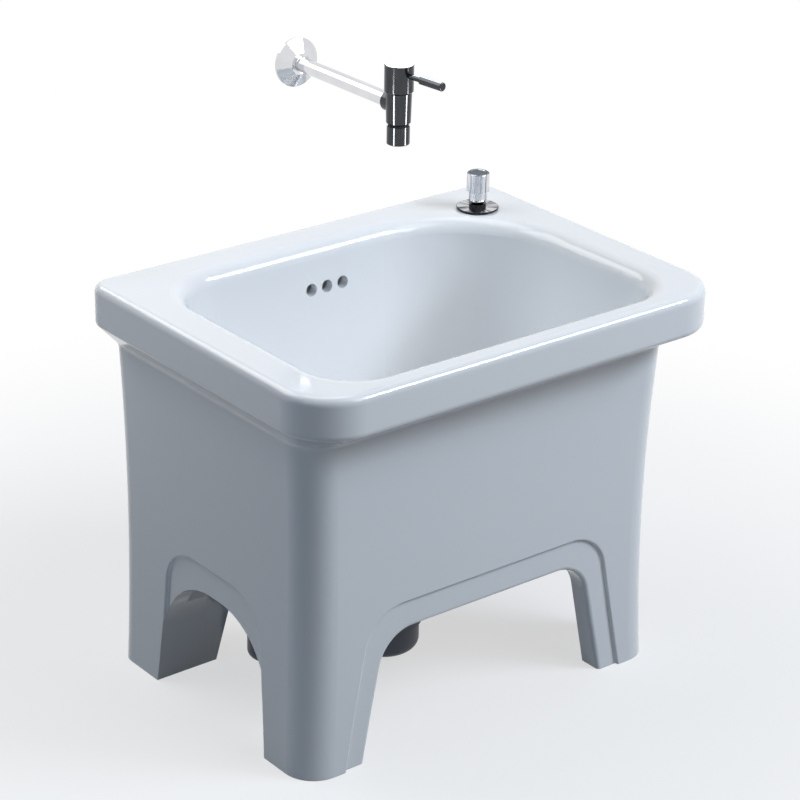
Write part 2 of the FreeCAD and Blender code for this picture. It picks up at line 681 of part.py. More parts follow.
def make_ceramic_body():
    """One fired piece: rim, deck, basin, skirt and four legs, open underneath."""
    skirt_top = BODY_HEIGHT - RIM_BAND_HEIGHT - UNDERSIDE_DROP
    band_low = BODY_HEIGHT - RIM_BAND_HEIGHT
    body = skirt_loft(0, 0, skirt_top).fuse(rim_loft(0, skirt_top, band_low, BODY_HEIGHT))
    body = body.cut(basin_loft(0, BODY_HEIGHT, BASIN_FLOOR_Z, BASIN_FLOOR_ROUND))
    deck_edges = edges_at_height(body, BODY_HEIGHT)
    body = body.makeFillet(BASIN_LIP_ROUND, [edge for edge in deck_edges if is_basin_edge(edge)])
    deck_edges = edges_at_height(body, BODY_HEIGHT)
    rim_edges = [edge for edge in deck_edges if not is_lip_edge(edge)]
    body = body.makeFillet(RIM_TOP_ROUND, rim_edges)
    body = body.makeFillet(RIM_LOWER_ROUND, edges_at_height(body, band_low))
    body = body.makeFillet(UNDERSIDE_COVE, edges_at_height(body, skirt_top))
    body = body.cut(box(-BODY_WIDTH, BODY_WIDTH, WALL_Y, WALL_Y + OVERRUN, -OVERRUN, BODY_HEIGHT + OVERRUN))

    # The hollow between skirt and basin, open downwards between the legs
    inner_skirt = skirt_loft(SKIRT_WALL, 0, skirt_top + SKIRT_WALL)
    inner_rim = rim_loft(SKIRT_WALL, skirt_top + SKIRT_WALL, band_low + SKIRT_WALL, BODY_HEIGHT - DECK_THICKNESS)
    side = BODY_WIDTH / 2
    upper = inner_skirt.common(box(-side, side, FRONT_Y, WALL_Y, LEG_TOP_Z, BODY_HEIGHT))
    foot = box(-side + FOOT_SIDE_INSET + FOOT_WALL, side - FOOT_SIDE_INSET - FOOT_WALL,
               FRONT_Y + FOOT_FRONT_INSET + FOOT_WALL, WALL_Y - FOOT_WALL, -OVERRUN, LEG_TOP_Z + TOUCH)
    for post in leg_posts():
        foot = foot.cut(post)
    duct, passage = overflow_duct()
    boss = cylinder(BOSS_RADIUS, at(DRAIN_X, DRAIN_Y, BOSS_BOTTOM_Z), UP, BOSS_HEIGHT)
    basin_skin = basin_loft(BASIN_WALL, BODY_HEIGHT, BASIN_FLOOR_Z - BASIN_WALL, BASIN_FLOOR_ROUND + BASIN_WALL)
    hollow = upper.fuse(inner_rim).fuse(foot)
    for kept in (basin_skin, boss, duct):
        hollow = hollow.cut(kept)
    body = body.cut(hollow).cut(passage)
    for pocket in back_leg_pockets():
        body = body.cut(pocket)

    # Recessed bands round the front and side arches, with soft edges as the mould leaves them
    skin = skirt_loft(0, -OVERRUN, skirt_top)
    floor = skirt_loft(BAND_DEPTH, -OVERRUN, skirt_top)
    band_top = ARCH_TOP_Z + BAND_RISE
    front_band = arch_face(FRONT_ARCH_HALF + FRONT_BAND_WIDTH, FRONT_BAND_LEAN, band_top, FRONT_BAND_ROUND, -OVERRUN)
    side_band = arch_face(SIDE_ARCH_HALF + SIDE_BAND_WIDTH, SIDE_BAND_LEAN, band_top, SIDE_BAND_ROUND, -OVERRUN)
    reach = FOOT_WALL + OVERRUN
    body = sink_band(body, front_band, front_tool, FRONT_Y, FRONT_Y + FOOT_FRONT_INSET + reach, skin, floor)
    for sign in (-1, 1):
        body = sink_band(body, side_band, side_tool, sign * side, sign * (side - FOOT_SIDE_INSET - reach), skin, floor)

    # The arches through the front, the back and both sides, and the rounded lip of the front one
    front_arch = arch_face(FRONT_ARCH_HALF, FRONT_ARCH_LEAN, ARCH_TOP_Z, FRONT_ARCH_ROUND, -OVERRUN)
    side_arch = arch_face(SIDE_ARCH_HALF, SIDE_ARCH_LEAN, ARCH_TOP_Z, SIDE_ARCH_ROUND, -OVERRUN)
    body = body.cut(front_tool(front_arch, FRONT_Y - OVERRUN, WALL_Y + OVERRUN))
    body = body.cut(side_tool(side_arch, -side - OVERRUN, side + OVERRUN))
    lip = edges_between(body, front_tool(front_arch.OuterWire, FRONT_Y - OVERRUN, WALL_Y + OVERRUN), floor.Shells[0])
    body = body.makeFillet(FRONT_ARCH_EDGE_ROUND, lip)

    # Drain seat, overflow holes and the hole for the drain control
    dish = Part.makeCone(SEAT_RADIUS, DISH_RADIUS, DISH_DROP, at(DRAIN_X, DRAIN_Y, BASIN_FLOOR_Z - DISH_DROP), UP)
    body = body.cut(dish)
    body = body.cut(cylinder(SEAT_RADIUS, at(DRAIN_X, DRAIN_Y, SEAT_Z), UP, SEAT_DEPTH + DISH_DROP))
    body = body.cut(cylinder(DRAIN_HOLE_RADIUS, at(DRAIN_X, DRAIN_Y, BOSS_BOTTOM_Z - OVERRUN), UP, BOSS_HEIGHT + OVERRUN + OVERRUN))
    overflow_z = BODY_HEIGHT - OVERFLOW_BELOW_DECK
    wall_face = basin_back_y(overflow_z)
    for index in range(OVERFLOW_COUNT):
        x = OVERFLOW_PITCH * (index - (OVERFLOW_COUNT - 1) / 2)
        start = at(x, wall_face - OVERRUN, overflow_z)
        body = body.cut(cylinder(OVERFLOW_HOLE_RADIUS, start, NORTH, OVERRUN + BASIN_WALL + DUCT_WALL))
    body = body.cut(cylinder(DECK_HOLE_RADIUS, at(KNOB_X, KNOB_Y, BODY_HEIGHT - OVERRUN), UP, OVERRUN + OVERRUN))
    return body


def is_lip_edge(edge):
    """True for the deck edges round the basin, after their round has widened the opening."""
    limits = edge.BoundBox
    half_width = BODY_WIDTH / 2 - LAND_SIDE + BASIN_LIP_ROUND + TOUCH
    across = limits.XMin > -half_width and limits.XMax < half_width
    along = limits.YMin > FRONT_Y + LAND_FRONT - BASIN_LIP_ROUND - TOUCH
    return across and along and limits.YMax < WALL_Y - LAND_BACK + BASIN_LIP_ROUND + TOUCH


def circle_wire(centre, direction, radius):
    return Part.Wire([Part.makeCircle(radius, centre, direction)])


def along_cable(shape):
    """Puts a shape built along +X from the drain axis onto the line from drain to knob."""
    return place_along(shape, DRAIN_AXIS, CONTROL_DIRECTION)


def along_outlet(shape):
    """Puts a shape built along +X from the drain axis onto the line from drain to floor boot."""
    return place_along(shape, DRAIN_AXIS, OUTLET_DIRECTION)


def scalloped(shape, count, radius, distance, x, y, low, high):
    """Cuts upright grip grooves round a turned part."""
    for index in range(count):
        angle = 2 * math.pi * index / count
        centre = at(x + distance * math.cos(angle), y + distance * math.sin(angle), low)
        shape = shape.cut(cylinder(radius, centre, UP, high - low))
    return shape


FLANGE_LOW = SEAT_Z + GASKET_THICKNESS
FLANGE_TOP = FLANGE_LOW + WASTE_FLANGE_THICKNESS
TUBE_LOW = FLANGE_LOW - WASTE_TUBE_LENGTH
TUBE_INNER = WASTE_TUBE_RADIUS - WASTE_TUBE_WALL
HOUSING_TOP = TUBE_LOW + HOUSING_SHOULDER
HOUSING_LOW = HOUSING_TOP - HOUSING_HEIGHT
BOSS_TOP = PIVOT_Z + BOSS_ABOVE_PIVOT
WASHER_LOW = BOSS_BOTTOM_Z - UNDER_WASHER_THICKNESS
SLIP_LOW = WASHER_LOW - SLIP_RING_THICKNESS


def make_waste_flange():
    """Outlet flange, threaded tube, overflow windows and the guide for the plug's stem."""
    flange = cylinder(WASTE_FLANGE_RADIUS, at(DRAIN_X, DRAIN_Y, FLANGE_LOW), UP, WASTE_FLANGE_THICKNESS)
    flange = flange.makeChamfer(WASTE_FLANGE_THICKNESS / 2, edges_at_height(flange, FLANGE_TOP))
    tube = cylinder(WASTE_TUBE_RADIUS, at(DRAIN_X, DRAIN_Y, TUBE_LOW), UP, WASTE_TUBE_LENGTH)
    body = flange.fuse(tube)
    bore_height = WASTE_TUBE_LENGTH + WASTE_FLANGE_THICKNESS + OVERRUN + OVERRUN
    body = body.cut(cylinder(TUBE_INNER, at(DRAIN_X, DRAIN_Y, TUBE_LOW - OVERRUN), UP, bore_height))
    low = BOSS_BOTTOM_Z + DUCT_FLOOR
    for angle in (0, 90):
        window = box(-WASTE_TUBE_RADIUS - OVERRUN, WASTE_TUBE_RADIUS + OVERRUN,
                     -DUCT_SLOT_HALF_WIDTH / 2, DUCT_SLOT_HALF_WIDTH / 2, low, low + DUCT_SLOT_HEIGHT)
        window.rotate(at(0, 0, 0), UP, angle)
        window.translate(DRAIN_AXIS)
        body = body.cut(window)
    spider_low = SEAT_Z - SPIDER_BELOW_SEAT
    spider = cylinder(SPIDER_HUB_RADIUS, at(DRAIN_X, DRAIN_Y, spider_low), UP, SPIDER_THICKNESS)
    for angle in (30, 150, 270):
        arm = box(0, TUBE_INNER + WASTE_TUBE_WALL / 2, -SPIDER_ARM_WIDTH / 2, SPIDER_ARM_WIDTH / 2,
                  spider_low, spider_low + SPIDER_THICKNESS)
        arm.rotate(at(0, 0, 0), UP, angle)
        arm.translate(DRAIN_AXIS)
        spider = spider.fuse(arm)
    stem_bore = cylinder(PLUG_STEM_RADIUS + RUNNING_GAP, at(DRAIN_X, DRAIN_Y, spider_low - OVERRUN), UP,
                         SPIDER_THICKNESS + OVERRUN + OVERRUN)
    return body.fuse(spider).cut(stem_bore)


def make_waste_fixings():
    """The rubbers, slip ring and back nut that clamp the waste to the ceramic."""
    tube_bore = WASTE_TUBE_RADIUS + THREAD_GAP
    gasket = ring(GASKET_RADIUS, DRAIN_HOLE_RADIUS, DRAIN_X, DRAIN_Y, SEAT_Z, FLANGE_LOW)
    washer = ring(UNDER_WASHER_RADIUS, tube_bore, DRAIN_X, DRAIN_Y, WASHER_LOW, BOSS_BOTTOM_Z)
    slip = ring(UNDER_WASHER_RADIUS, tube_bore, DRAIN_X, DRAIN_Y, SLIP_LOW, WASHER_LOW)
    nut = polygon_nut(BACK_NUT_FLATS, 8, DRAIN_X, DRAIN_Y, SLIP_LOW - BACK_NUT_HEIGHT, SLIP_LOW)
    nut = nut.cut(cylinder(tube_bore, at(DRAIN_X, DRAIN_Y, SLIP_LOW - BACK_NUT_HEIGHT - OVERRUN), UP,
                           BACK_NUT_HEIGHT + OVERRUN + OVERRUN))
    return gasket, washer, slip, nut


def make_waste_plug():
    """Domed plug with its stem, and the soft ring in its underside."""
    low = FLANGE_TOP + JOINT_GAP + PLUG_SEAL_THICKNESS / 2
    height = PLUG_EDGE + PLUG_DOME
    sphere_radius = (PLUG_RADIUS ** 2 + PLUG_DOME ** 2) / (2 * PLUG_DOME)
    dome = Part.makeSphere(sphere_radius, at(DRAIN_X, DRAIN_Y, low + height - sphere_radius))
    plug = cylinder(PLUG_RADIUS, at(DRAIN_X, DRAIN_Y, low), UP, height).common(dome)
    seal = ring(PLUG_SEAL_OUTER, PLUG_SEAL_INNER, DRAIN_X, DRAIN_Y, FLANGE_TOP + JOINT_GAP,
                FLANGE_TOP + JOINT_GAP + PLUG_SEAL_THICKNESS)
    stem_low = PIVOT_Z + CRANK_ARM_HALF_HEIGHT + STEM_TO_CRANK_GAP
    stem = cylinder(PLUG_STEM_RADIUS, at(DRAIN_X, DRAIN_Y, stem_low), UP, low + TOUCH - stem_low)
    return plug.cut(seal).fuse(stem), seal


def make_lift_housing():
    """Tee under the waste: seat for the tube, boss for the crank and the tail into the trap."""
    outer = WASTE_TUBE_RADIUS + HOUSING_SEAT_WALL
    body = cylinder(outer, at(0, 0, HOUSING_LOW), UP, HOUSING_HEIGHT)
    wide = BOSS_HALF_WIDTH + BOSS_WALL
    body = body.fuse(box(0, BOSS_REACH, -wide, wide, PIVOT_Z - BOSS_BELOW_PIVOT - BOSS_WALL, BOSS_TOP))
    body = body.fuse(cylinder(TAIL_RADIUS, at(0, 0, TAIL_BOTTOM_Z), UP, HOUSING_LOW - TAIL_BOTTOM_Z + TOUCH))
    body = body.cut(cylinder(WASTE_TUBE_RADIUS + THREAD_GAP, at(0, 0, TUBE_LOW), UP, HOUSING_SHOULDER + OVERRUN))
    bore_low = HOUSING_LOW + HOUSING_FLOOR
    body = body.cut(cylinder(HOUSING_BORE, at(0, 0, bore_low), UP, TUBE_LOW - bore_low + TOUCH))
    tail_bore = bore_low - TAIL_BOTTOM_Z + OVERRUN + OVERRUN
    body = body.cut(cylinder(TAIL_RADIUS - TAIL_WALL, at(0, 0, TAIL_BOTTOM_Z - OVERRUN), UP, tail_bore))
    cavity_low = PIVOT_Z - BOSS_BELOW_PIVOT
    end = BOSS_REACH - BOSS_WALL
    body = body.cut(box(CAVITY_INNER_REACH, end, -BOSS_HALF_WIDTH, BOSS_HALF_WIDTH,
                        cavity_low, PIVOT_Z + BOSS_WINDOW_TOP))
    body = body.cut(box(COVER_INNER_REACH, end, -BOSS_HALF_WIDTH, BOSS_HALF_WIDTH, cavity_low, BOSS_TOP + OVERRUN))
    body = body.cut(cylinder(GLAND_RADIUS + TOUCH, at(end - TOUCH, 0, CABLE_Z), EAST, BOSS_WALL + OVERRUN))
    pin_hole = cylinder(CRANK_PIN_RADIUS + TOUCH, at(CRANK_REACH, -wide - OVERRUN, PIVOT_Z), NORTH,
                        wide + wide + OVERRUN + OVERRUN)
    return along_cable(body.cut(pin_hole))


def make_crank():
    """Bell crank: one arm under the plug's stem, a fork round the wire's nipple."""
    crank = box(CRANK_REACH - CRANK_ARM_LENGTH, CRANK_REACH, -CRANK_ARM_HALF_WIDTH, CRANK_ARM_HALF_WIDTH,
                PIVOT_Z - CRANK_ARM_HALF_HEIGHT, PIVOT_Z + CRANK_ARM_HALF_HEIGHT)
    tip = [edge for edge in crank.Edges
           if edge.BoundBox.XMax < CRANK_REACH - CRANK_ARM_LENGTH + TOUCH and edge.BoundBox.YLength > TOUCH]
    crank = crank.makeFillet(CRANK_ARM_HALF_HEIGHT / 2, tip)
    hub = cylinder(CRANK_HUB_RADIUS, at(CRANK_REACH, -CRANK_HALF_WIDTH, PIVOT_Z), NORTH,
                   CRANK_HALF_WIDTH + CRANK_HALF_WIDTH)
    top = CABLE_Z + CRANK_CHEEK_ABOVE_NIPPLE
    fork = box(CRANK_REACH - CRANK_CHEEK_HALF_LENGTH, CRANK_REACH + CRANK_CHEEK_HALF_LENGTH,
               -CRANK_HALF_WIDTH, CRANK_HALF_WIDTH, PIVOT_Z, top)
    slot = box(CRANK_REACH - CRANK_SLOT_HALF_WIDTH, CRANK_REACH + CRANK_SLOT_HALF_WIDTH,
               -CRANK_HALF_WIDTH - OVERRUN, CRANK_HALF_WIDTH + OVERRUN,
               CABLE_Z - CRANK_SLOT_BELOW_NIPPLE, top + OVERRUN)
    gap = box(CRANK_REACH - CRANK_CHEEK_HALF_LENGTH - OVERRUN, CRANK_REACH + CRANK_CHEEK_HALF_LENGTH + OVERRUN,
              -CRANK_CHEEK_GAP, CRANK_CHEEK_GAP, PIVOT_Z + CRANK_HUB_RADIUS, top + OVERRUN)
    bore = cylinder(CRANK_PIN_RADIUS + RUNNING_GAP, at(CRANK_REACH, -CRANK_HALF_WIDTH - OVERRUN, PIVOT_Z), NORTH,
                    CRANK_HALF_WIDTH + CRANK_HALF_WIDTH + OVERRUN + OVERRUN)
    return along_cable(crank.fuse(hub).fuse(fork).cut(slot).cut(gap).cut(bore))


def make_crank_pin():
    wide = BOSS_HALF_WIDTH + BOSS_WALL
    pin = cylinder(CRANK_PIN_RADIUS, at(CRANK_REACH, -wide, PIVOT_Z), NORTH, wide + wide + TOUCH)
    head = cylinder(CRANK_PIN_HEAD_RADIUS, at(CRANK_REACH, wide, PIVOT_Z), NORTH, CRANK_PIN_HEAD)
    stop = cylinder(CRANK_PIN_HEAD_RADIUS, at(CRANK_REACH, -wide - CRANK_PIN_HEAD, PIVOT_Z), NORTH, CRANK_PIN_HEAD)
    return along_cable(pin.fuse(head).fuse(stop))


def make_housing_cover():
    wide = BOSS_HALF_WIDTH + BOSS_WALL
    return along_cable(box(COVER_INNER_REACH, BOSS_REACH, -wide, wide, BOSS_TOP, BOSS_TOP + COVER_THICKNESS))


GLAND_END = BOSS_REACH + GLAND_FLANGE + GLAND_TAIL
SHEATH_START = GLAND_END - SHEATH_IN_GLAND


def make_cable_gland():
    gland = cylinder(GLAND_RADIUS, at(BOSS_REACH - BOSS_WALL, 0, CABLE_Z), EAST, BOSS_WALL + TOUCH)
    gland = gland.fuse(cylinder(GLAND_FLANGE_RADIUS, at(BOSS_REACH, 0, CABLE_Z), EAST, GLAND_FLANGE))
    gland = gland.fuse(cylinder(GLAND_TAIL_RADIUS, at(BOSS_REACH, 0, CABLE_Z), EAST, GLAND_FLANGE + GLAND_TAIL))
    gland = gland.cut(cylinder(SHEATH_BORE, at(0, 0, CABLE_Z), EAST, GLAND_END))
    gland = gland.cut(cylinder(SHEATH_RADIUS, at(SHEATH_START, 0, CABLE_Z), EAST, SHEATH_IN_GLAND + OVERRUN))
    return along_cable(gland)


def make_pull_wire():
    end = SHEATH_START + WIRE_INTO_SHEATH
    wire = cylinder(WIRE_RADIUS, at(CRANK_REACH, 0, CABLE_Z), EAST, end - CRANK_REACH)
    nipple = cylinder(NIPPLE_RADIUS, at(CRANK_REACH, -NIPPLE_HALF_LENGTH, CABLE_Z), NORTH,
                      NIPPLE_HALF_LENGTH + NIPPLE_HALF_LENGTH)
    return along_cable(wire.fuse(nipple))


SHEATH_TOP = BODY_HEIGHT - DECK_THICKNESS - CONTROL_WASHER_THICKNESS - CONTROL_LENGTH - END_CAP_FLOOR + SHEATH_INTO_CAP


def make_cable_sheath():
    """The sheath's run: level, up a slope past the leg, then straight up to the knob's control."""
    climb = math.radians(CABLE_CLIMB_ANGLE)
    radius = CABLE_BEND_RADIUS
    bend_start = SHEATH_START + CABLE_FIRST_RUN
    slope_span = CONTROL_SPAN - bend_start - radius
    def on_arc(centre_s, centre_z, angle):
        return at(centre_s + radius * math.sin(angle), 0, centre_z - radius * math.cos(angle))
    first_centre = (bend_start, CABLE_Z + radius)
    slope_rise = slope_span * math.tan(climb)
    second_centre = (bend_start + slope_span, CABLE_Z + radius + slope_rise)
    start = at(SHEATH_START, 0, CABLE_Z)
    points = [start, at(bend_start, 0, CABLE_Z)]
    first_end = on_arc(first_centre[0], first_centre[1], climb)
    second_start = on_arc(second_centre[0], second_centre[1], climb)
    second_end = on_arc(second_centre[0], second_centre[1], math.pi / 2)
    top = at(CONTROL_SPAN, 0, SHEATH_TOP)
    path = Part.Wire([
        Part.makeLine(points[0], points[1]),
        Part.Arc(points[1], on_arc(first_centre[0], first_centre[1], climb / 2), first_end).toShape(),
        Part.makeLine(first_end, second_start),
        Part.Arc(second_start, on_arc(second_centre[0], second_centre[1], (climb + math.pi / 2) / 2),
                 second_end).toShape(),
        Part.makeLine(second_end, top)])
    sheath = path.makePipeShell([circle_wire(start, EAST, SHEATH_RADIUS)], True, True)
    sheath = sheath.cut(cylinder(SHEATH_BORE, start, EAST, SHEATH_END_BORE_LENGTH))
    sheath = sheath.cut(cylinder(SHEATH_BORE, top, DOWN, SHEATH_END_BORE_LENGTH))
    return along_cable(sheath)


DECK_UNDER = BODY_HEIGHT - DECK_THICKNESS
CONTROL_TOP_SEAT = DECK_UNDER - CONTROL_WASHER_THICKNESS
CONTROL_LOW = CONTROL_TOP_SEAT - CONTROL_LENGTH
FLANGE_SEAT = BODY_HEIGHT + DECK_GASKET_THICKNESS
DECK_FLANGE_TOP = FLANGE_SEAT + DECK_FLANGE_THICKNESS
COLLAR_TOP = DECK_FLANGE_TOP + COLLAR_NUT_HEIGHT
KNOB_LOW = COLLAR_TOP + KNOB_GAP
CONTROL_BORE_TOP = CONTROL_TOP_SEAT - CONTROL_BUSH_DEPTH
SPINDLE_LOW = CONTROL_BORE_TOP - SPINDLE_COLLAR - SPINDLE_BELOW_COLLAR
SPINDLE_TOP = KNOB_LOW + SPINDLE_INTO_KNOB
SEAL_LOW = BODY_HEIGHT - SEAL_BELOW_DECK
CARRIER_LOW = SPINDLE_LOW - CARRIER_SPINDLE_GAP - CARRIER_FLOOR


def make_control():
    """Everything that holds the knob's control in the deck, and the parts that move inside it."""
    x, y = KNOB_X, KNOB_Y
    neck_bore = SPINDLE_RADIUS + RUNNING_GAP
    collar_bore = CONTROL_NECK_RADIUS + THREAD_GAP
    deck_gasket = ring(DECK_GASKET_RADIUS, DECK_HOLE_RADIUS, x, y, BODY_HEIGHT, FLANGE_SEAT)
    deck_flange = ring(DECK_FLANGE_RADIUS, collar_bore, x, y, FLANGE_SEAT, DECK_FLANGE_TOP)
    rim = [edge for edge in edges_at_height(deck_flange, DECK_FLANGE_TOP)
           if edge.BoundBox.XLength > DECK_FLANGE_RADIUS]
    deck_flange = deck_flange.makeFillet(DECK_FLANGE_ROUND, rim)
    collar_nut = ring(COLLAR_NUT_RADIUS, collar_bore, x, y, DECK_FLANGE_TOP, COLLAR_TOP)
    middle = DECK_FLANGE_TOP + COLLAR_NUT_HEIGHT / 2
    groove = ring(COLLAR_NUT_RADIUS + OVERRUN, COLLAR_NUT_RADIUS - COLLAR_NUT_GROOVE, x, y,
                  middle - COLLAR_NUT_GROOVE / 2, middle + COLLAR_NUT_GROOVE / 2)
    collar_nut = collar_nut.cut(groove)
    washer = ring(CONTROL_FLANGE_RADIUS, collar_bore, x, y, CONTROL_TOP_SEAT, DECK_UNDER)
    body = cylinder(CONTROL_NECK_RADIUS, at(x, y, CONTROL_TOP_SEAT), UP, COLLAR_TOP - CONTROL_TOP_SEAT)
    body = body.fuse(cylinder(CONTROL_SLEEVE_RADIUS, at(x, y, CONTROL_LOW), UP, CONTROL_LENGTH))
    body = body.fuse(cylinder(CONTROL_FLANGE_RADIUS, at(x, y, CONTROL_TOP_SEAT - CONTROL_FLANGE_THICKNESS), UP,
                              CONTROL_FLANGE_THICKNESS))
    body = body.cut(cylinder(neck_bore, at(x, y, CONTROL_LOW), UP, COLLAR_TOP - CONTROL_LOW + OVERRUN))
    body = body.cut(cylinder(CONTROL_BORE, at(x, y, CONTROL_LOW - OVERRUN), UP,
                             CONTROL_BORE_TOP - CONTROL_LOW + OVERRUN))
    body = body.cut(cylinder(SEAL_OUTER, at(x, y, SEAL_LOW), UP, SEAL_HEIGHT))
    seal = ring(SEAL_OUTER, SPINDLE_RADIUS + JOINT_GAP, x, y, SEAL_LOW, SEAL_LOW + SEAL_HEIGHT)
    collar_high = CONTROL_BORE_TOP - JOINT_GAP
    spindle = cylinder(SPINDLE_RADIUS, at(x, y, SPINDLE_LOW), UP, SPINDLE_TOP - SPINDLE_LOW)
    spindle = spindle.fuse(cylinder(SPINDLE_COLLAR_RADIUS, at(x, y, collar_high - SPINDLE_COLLAR), UP, SPINDLE_COLLAR))
    carrier = cylinder(CARRIER_RADIUS, at(x, y, CARRIER_LOW), UP, CARRIER_HEIGHT)
    carrier = carrier.cut(cylinder(SPINDLE_RADIUS + JOINT_GAP, at(x, y, CARRIER_LOW + CARRIER_FLOOR), UP,
                                   CARRIER_HEIGHT))
    wire_high = CARRIER_LOW + WIRE_INTO_CARRIER
    wire_low = SHEATH_TOP - WIRE_INTO_SHEATH
    carrier_wire = cylinder(WIRE_RADIUS, at(x, y, wire_low), UP, wire_high - wire_low)
    carrier = carrier.cut(cylinder(WIRE_RADIUS, at(x, y, wire_low), UP, wire_high - wire_low))
    cap_low = CONTROL_LOW - END_CAP_FLOOR
    cap = cylinder(END_CAP_RADIUS, at(x, y, cap_low), UP, END_CAP_FLOOR + END_CAP_OVERLAP)
    cap = cap.cut(cylinder(CONTROL_SLEEVE_RADIUS + THREAD_GAP, at(x, y, CONTROL_LOW), UP, END_CAP_OVERLAP + OVERRUN))
    cap = cap.cut(cylinder(SHEATH_RADIUS, at(x, y, cap_low - OVERRUN), UP, OVERRUN + SHEATH_INTO_CAP))
    cap = cap.cut(cylinder(SHEATH_BORE, at(x, y, cap_low), UP, END_CAP_FLOOR + OVERRUN))
    return {"deck_gasket": deck_gasket, "deck_flange": deck_flange, "collar_nut": collar_nut,
            "control_washer": washer, "control_body": body, "spindle_seal": seal, "control_spindle": spindle,
            "wire_carrier": carrier, "carrier_wire": carrier_wire, "control_end_cap": cap}


def make_knob():
    """Fluted drain knob on a bowl-shaped neck, and the screw that holds it on the spindle."""
    x, y = KNOB_X, KNOB_Y
    top = KNOB_LOW + KNOB_HEIGHT
    neck_top = KNOB_LOW + KNOB_NECK_HEIGHT
    skirt_low = KNOB_LOW + KNOB_SKIRT_UP
    bulge_z = KNOB_LOW + KNOB_NECK_BULGE_HEIGHT
    axis_low = at(0, 0, KNOB_LOW)
    neck_foot = at(KNOB_NECK_FOOT, 0, KNOB_LOW)
    bulge = at(KNOB_NECK_BULGE, 0, bulge_z)
    bowl_middle = at(KNOB_NECK_FOOT + (KNOB_NECK_BULGE - KNOB_NECK_FOOT) * math.sin(math.pi / 4), 0,
                     bulge_z - KNOB_NECK_BULGE_HEIGHT * math.cos(math.pi / 4))
    shoulder = at(KNOB_NECK_TOP_RADIUS, 0, neck_top)
    axis_top = at(0, 0, neck_top)
    side = Part.Wire([Part.makeLine(axis_low, neck_foot), Part.Arc(neck_foot, bowl_middle, bulge).toShape(),
                      Part.makeLine(bulge, shoulder), Part.makeLine(shoulder, axis_top),
                      Part.makeLine(axis_top, axis_low)])
    neck = Part.Face(side).revolve(at(0, 0, 0), UP, 360)
    head = turned([(0, skirt_low), (KNOB_SKIRT_RADIUS, skirt_low), (KNOB_TOP_RADIUS, top), (0, top)], 0, 0)
    head = head.makeFillet(KNOB_TOP_ROUND, edges_at_height(head, top))
    foot = at(KNOB_SKIRT_RADIUS + KNOB_FLUTE_RADIUS - KNOB_FLUTE_DEPTH, 0, skirt_low)
    crown = at(KNOB_TOP_RADIUS + KNOB_FLUTE_RADIUS - KNOB_FLUTE_TOP_DEPTH, 0, top)
    lean = crown.sub(foot)
    lean.normalize()
    start = foot.sub(lean.multiply(OVERRUN))
    span = top - skirt_low + OVERRUN + OVERRUN
    direction = crown.sub(start)
    flute = cylinder(KNOB_FLUTE_RADIUS, start, direction, span)
    for index in range(KNOB_LOBE_COUNT):
        cutter = flute.copy()
        cutter.rotate(at(0, 0, 0), UP, KNOB_FIRST_FLUTE + 360 * index / KNOB_LOBE_COUNT)
        head = head.cut(cutter)
    knob = neck.fuse(head)
    dish = Part.makeCone(KNOB_DISH_RADIUS - KNOB_DISH_SLOPE, KNOB_DISH_RADIUS, KNOB_DISH_DEPTH,
                         at(0, 0, top - KNOB_DISH_DEPTH), UP)
    knob = knob.cut(dish)
    knob = knob.cut(cylinder(SPINDLE_RADIUS, at(0, 0, KNOB_LOW - OVERRUN), UP, SPINDLE_INTO_KNOB + OVERRUN))
    screw_z = KNOB_LOW + GRUB_HEIGHT
    knob = knob.cut(cylinder(GRUB_RADIUS, at(0, 0, screw_z), NORTH, KNOB_SKIRT_RADIUS + OVERRUN))
    screw = cylinder(GRUB_RADIUS, at(0, SPINDLE_RADIUS + TOUCH, screw_z), NORTH, GRUB_LENGTH)
    socket_start = SPINDLE_RADIUS + GRUB_LENGTH - GRUB_SOCKET_DEPTH
    screw = screw.cut(cylinder(GRUB_SOCKET_RADIUS, at(0, socket_start, screw_z), NORTH, GRUB_SOCKET_DEPTH + OVERRUN))
    knob.translate(at(x, y, 0))
    screw.translate(at(x, y, 0))
    return knob, screw


HEAD_LOW = TRAP_BOTTOM_Z + TRAP_CUP_HEIGHT
HEAD_TOP = HEAD_LOW + TRAP_HEAD_HEIGHT
TRAP_NECK_TOP = HEAD_TOP + TRAP_NECK_HEIGHT
SLIP_BORE = TAIL_RADIUS + THREAD_GAP


def slip_nut(radius, neck_radius, pipe_radius, neck_end):
    """A grooved nut over a neck along +Z, with its lip beyond the soft ring; returns nut and ring."""
    top = neck_end + TRAP_SEAL_THICKNESS + TRAP_NUT_LIP
    low = top - TRAP_NUT_HEIGHT
    nut = cylinder(radius, at(0, 0, low), UP, TRAP_NUT_HEIGHT)
    nut = nut.cut(cylinder(neck_radius + THREAD_GAP, at(0, 0, low - OVERRUN), UP,
                           OVERRUN + TRAP_NUT_HEIGHT - TRAP_NUT_LIP))
    nut = nut.cut(cylinder(pipe_radius + JOINT_GAP, at(0, 0, low), UP, TRAP_NUT_HEIGHT + OVERRUN))
    nut = scalloped(nut, TRAP_NUT_GRIPS, TRAP_NUT_GRIP_RADIUS, radius + TRAP_NUT_GRIP_RADIUS / 2, 0, 0,
                    low - OVERRUN, top - TRAP_NUT_LIP / 2)
    seal = ring(neck_radius, pipe_radius + THREAD_GAP, 0, 0, neck_end, neck_end + TRAP_SEAL_THICKNESS)
    return nut, seal


